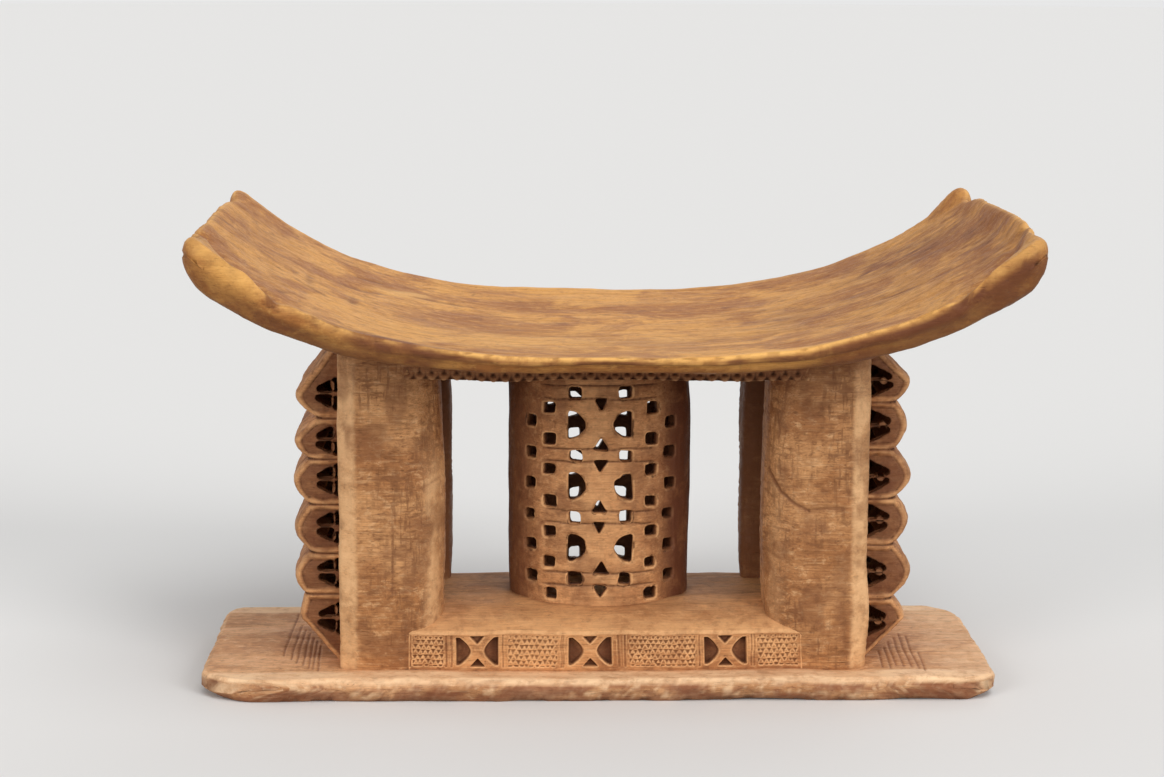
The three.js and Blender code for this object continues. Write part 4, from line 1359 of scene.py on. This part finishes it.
def wood(slot):
    """The wood of one slot: long grain along X, patina in patches, stains and painted shade, dirt
    and painted shade in creases, and pale arrises, rubbed places and painted light.
    """
    if slot in WOOD:
        return WOOD[slot]
    tones, traits = WOODS[slot]
    look = {name: linear(tone) for name, tone in zip(TONES, tones)}
    trait = dict(zip(TRAITS, traits))
    material = WOOD[slot] = bpy.data.materials.new(slot + "_carved")
    nodes = Nodes(material)
    place = nodes.add("TexCoord").outputs["Object"]
    texture = {name: nodes.noise(place, *shape) for name, shape in TEXTURES.items()}
    drift = nodes.noise(place, trait["drift"], 6.0, 0.62, 0.8)
    colour = nodes.mix(nodes.ramp(drift, 0.40, 0.60), look["pale"], look["deep"])

    def layered(colour, layers):
        for name, low, high, start, end, tone in layers:
            strengths = (trait.get(strength, strength) for strength in (start, end))
            colour = nodes.mix(nodes.ramp(texture[name], low, high, *strengths), colour, look[tone])
        return colour

    def part(mask, name, low, high, least):
        """A mask, broken up by a noise."""
        return nodes.product(nodes.mask(mask), nodes.ramp(texture[name], low, high, least, 1.0))

    colour = layered(colour, UNDER_LAYERS)
    # Strokes of the rasp, level and upright, in patches.
    level, upright = (nodes.ramp(texture[name], 0.50, 0.62) for name in ("level", "upright"))
    patch = nodes.ramp(texture["patch"], 0.42, 0.58, 0.15, 1.0)
    hatch = nodes.product(nodes.math("MAXIMUM", level, upright), patch, trait["hatch"])
    colour = nodes.mix(nodes.product(hatch, 0.55), colour, look["line"])
    colour = layered(colour, OVER_LAYERS)
    # Stains and painted shade, rubbed places and painted light, chips, and dirt and painted shade
    # in creases.
    colour = nodes.mix(part("stain_and_shade", "blotch", 0.30, 0.55, 0.72), colour, look["patina_and_shade"])
    rubbed = nodes.product(part("pale", "scuff", 0.34, 0.58, 0.45), trait["rub_and_light"])
    arris = nodes.product(part("arris", "scuff", 0.35, 0.6, 0.35), 0.8)
    clean = nodes.ramp(nodes.mask("stain_and_shade"), 0.1, 0.9, 1.0, 0.1)
    worn_and_lit = nodes.product(nodes.math("MAXIMUM", rubbed, arris), clean)
    colour = nodes.mix(worn_and_lit, colour, look["worn_and_lit"])
    colour = nodes.mix(nodes.product(nodes.mask("chips"), 0.4), colour, look["patina_and_shade"])
    dirty_and_shaded = part("crease", "scuff", 0.2, 0.6, 0.7)
    colour = nodes.mix(nodes.product(dirty_and_shaded, 0.7), colour, look["dirt_and_shade"])
    rough = trait["rough"]
    dull = nodes.ramp(texture["streak"], 0.3, 0.7, rough - 0.08, rough + 0.12)
    dull = nodes.math("ADD", dull, nodes.product(dirty_and_shaded, 0.25))
    dull = nodes.math("SUBTRACT", dull, nodes.product(worn_and_lit, 0.08))
    bumps = (nodes.product(texture[name], share) for name, share in BUMPS.items())
    pits = nodes.product(hatch, 0.35), nodes.ramp(texture["pores"], 0.62, 0.76, 0.0, 0.5)
    height = nodes.math("SUBTRACT", nodes.math("ADD", *bumps), *pits)
    bump = nodes.add("Bump", Strength=0.55, Distance=0.0009, Height=height)
    shader = nodes.add("BsdfPrincipled", Base_Color=colour, Roughness=dull, Normal=bump.outputs[0])
    shader.inputs["Specular IOR Level"].default_value = 0.3
    nodes.add("OutputMaterial", Surface=shader.outputs[0])
    return material


# Stage, lamps and camera. Floor and sky have one strength as seen and another for their light.
FLOOR_REACH = 14.0
FLOOR_COLOUR = 0.80
FLOOR_BOUNCE = 0.42
SKY = 0.80
SKY_LIGHT = 0.40
# Broad lamps: the direction of each, its strength, its width in degrees and its colour.
LAMPS = [
    ("top", (0.25, -0.35, 1.0), 0.72, 36, (1.0, 0.99, 0.97)),
    ("front", (0.10, -1.0, 1.0), 0.40, 30, (1.0, 0.99, 0.97)),
    ("right", (0.90, -1.0, 0.58), 1.18, 26, (1.0, 0.985, 0.96)),
    ("left", (-0.95, -1.0, 0.50), 0.88, 26, (1.0, 0.985, 0.96)),
    ("back", (0.35, 1.0, 0.75), 0.25, 30, (1.0, 0.99, 0.97)),
]
LAMP_DISTANCE = 3.0
# Camera, from a fit to the photograph's outline: its place, and its angles in degrees.
CAMERA_PLACE = (-57.3, -1670.6, 486.9)
CAMERA_DOWN = 10.2146
CAMERA_TURN = 1.4486
CAMERA_ROLL = 0.2229
FOCAL_PIXELS = 2600.0
PICTURE_WIDTH = 1164.0
SENSOR = 36.0


def seen_directly(nodes):
    ray = nodes.add("LightPath").outputs
    return nodes.math("MAXIMUM", ray["Is Camera Ray"], ray["Is Glossy Ray"])


def make_stage():
    turns = np.linspace(0, 2 * math.pi, 97)[:-1]
    rim = [(FLOOR_REACH * math.cos(turn), FLOOR_REACH * math.sin(turn), 0) for turn in turns]
    mesh = bpy.data.meshes.new("floor")
    mesh.from_pydata(rim, [], [list(range(len(rim)))])
    floor = bpy.data.objects.new("floor", mesh)
    bpy.context.scene.collection.objects.link(floor)
    material = bpy.data.materials.new("floor")
    mesh.materials.append(material)
    nodes = Nodes(material)
    bounced, seen = (
        nodes.add("BsdfDiffuse", Color=[grey] * 3 + [1]).outputs[0]
        for grey in (FLOOR_BOUNCE, FLOOR_COLOUR)
    )
    shader = nodes.add("MixShader", i0=seen_directly(nodes), i1=bounced, i2=seen)
    nodes.add("OutputMaterial", Surface=shader.outputs[0])
    world = bpy.context.scene.world = bpy.data.worlds.new("studio")
    nodes = Nodes(world)
    strength = nodes.add("MapRange", i0=seen_directly(nodes), i1=0.0, i2=1.0, i3=SKY_LIGHT, i4=SKY)
    light = nodes.add("Background", Color=[1, 1, 1, 1], Strength=strength.outputs[0])
    nodes.add("OutputWorld", Surface=light.outputs[0])


def set_up(name, data, right, up, back, place):
    """Puts a lamp or camera in the scene, with its axes and its place in metres."""
    thing = bpy.data.objects.new(name, data)
    columns = np.column_stack([right, up, back, place])
    thing.matrix_world = Matrix(np.vstack([columns, [0, 0, 0, 1]]).tolist())
    bpy.context.scene.collection.objects.link(thing)
    return thing


def make_lamps():
    for name, direction, strength, angle, colour in LAMPS:
        lamp = bpy.data.lights.new(name, "SUN")
        lamp.energy, lamp.angle, lamp.color = strength, math.radians(angle), colour
        back = np.array(direction) / np.linalg.norm(direction)
        right = np.cross([0, 0, 1], back)
        right /= np.linalg.norm(right)
        set_up(name, lamp, right, np.cross(back, right), back, back * LAMP_DISTANCE)


def make_camera():
    down, turn, roll = np.radians([CAMERA_DOWN, CAMERA_TURN, CAMERA_ROLL])
    ahead = np.array([np.sin(turn) * np.cos(down), np.cos(turn) * np.cos(down), -np.sin(down)])
    level = np.array([np.cos(turn), -np.sin(turn), 0])
    upright = np.cross(level, ahead)
    right = np.cos(roll) * level + np.sin(roll) * upright
    up = -np.sin(roll) * level + np.cos(roll) * upright
    data = bpy.data.cameras.new("camera")
    data.sensor_width, data.sensor_fit = SENSOR, "HORIZONTAL"
    data.lens = FOCAL_PIXELS * SENSOR / PICTURE_WIDTH
    data.clip_start, data.clip_end = 0.05, 60
    place = np.array(CAMERA_PLACE) / MM
    bpy.context.scene.camera = set_up("camera", data, right, up, -ahead, place)


make_camera()
make_stage()
make_lamps()
make_seat()
make_base()
for end, row in ((1, "front"), (-1, "rear")):
    for side, hand in ((-1, "left"), (1, "right")):
        make_pillar(f"pillar_{row}_{hand}", side, end)
make_plinth()
make_block()
make_column()
make_screen("screen_left_carved", "side_screen_left", -1)
make_screen("screen_right_carved", "side_screen_right", 1)

bpy.context.scene.view_settings.view_transform = "Standard"
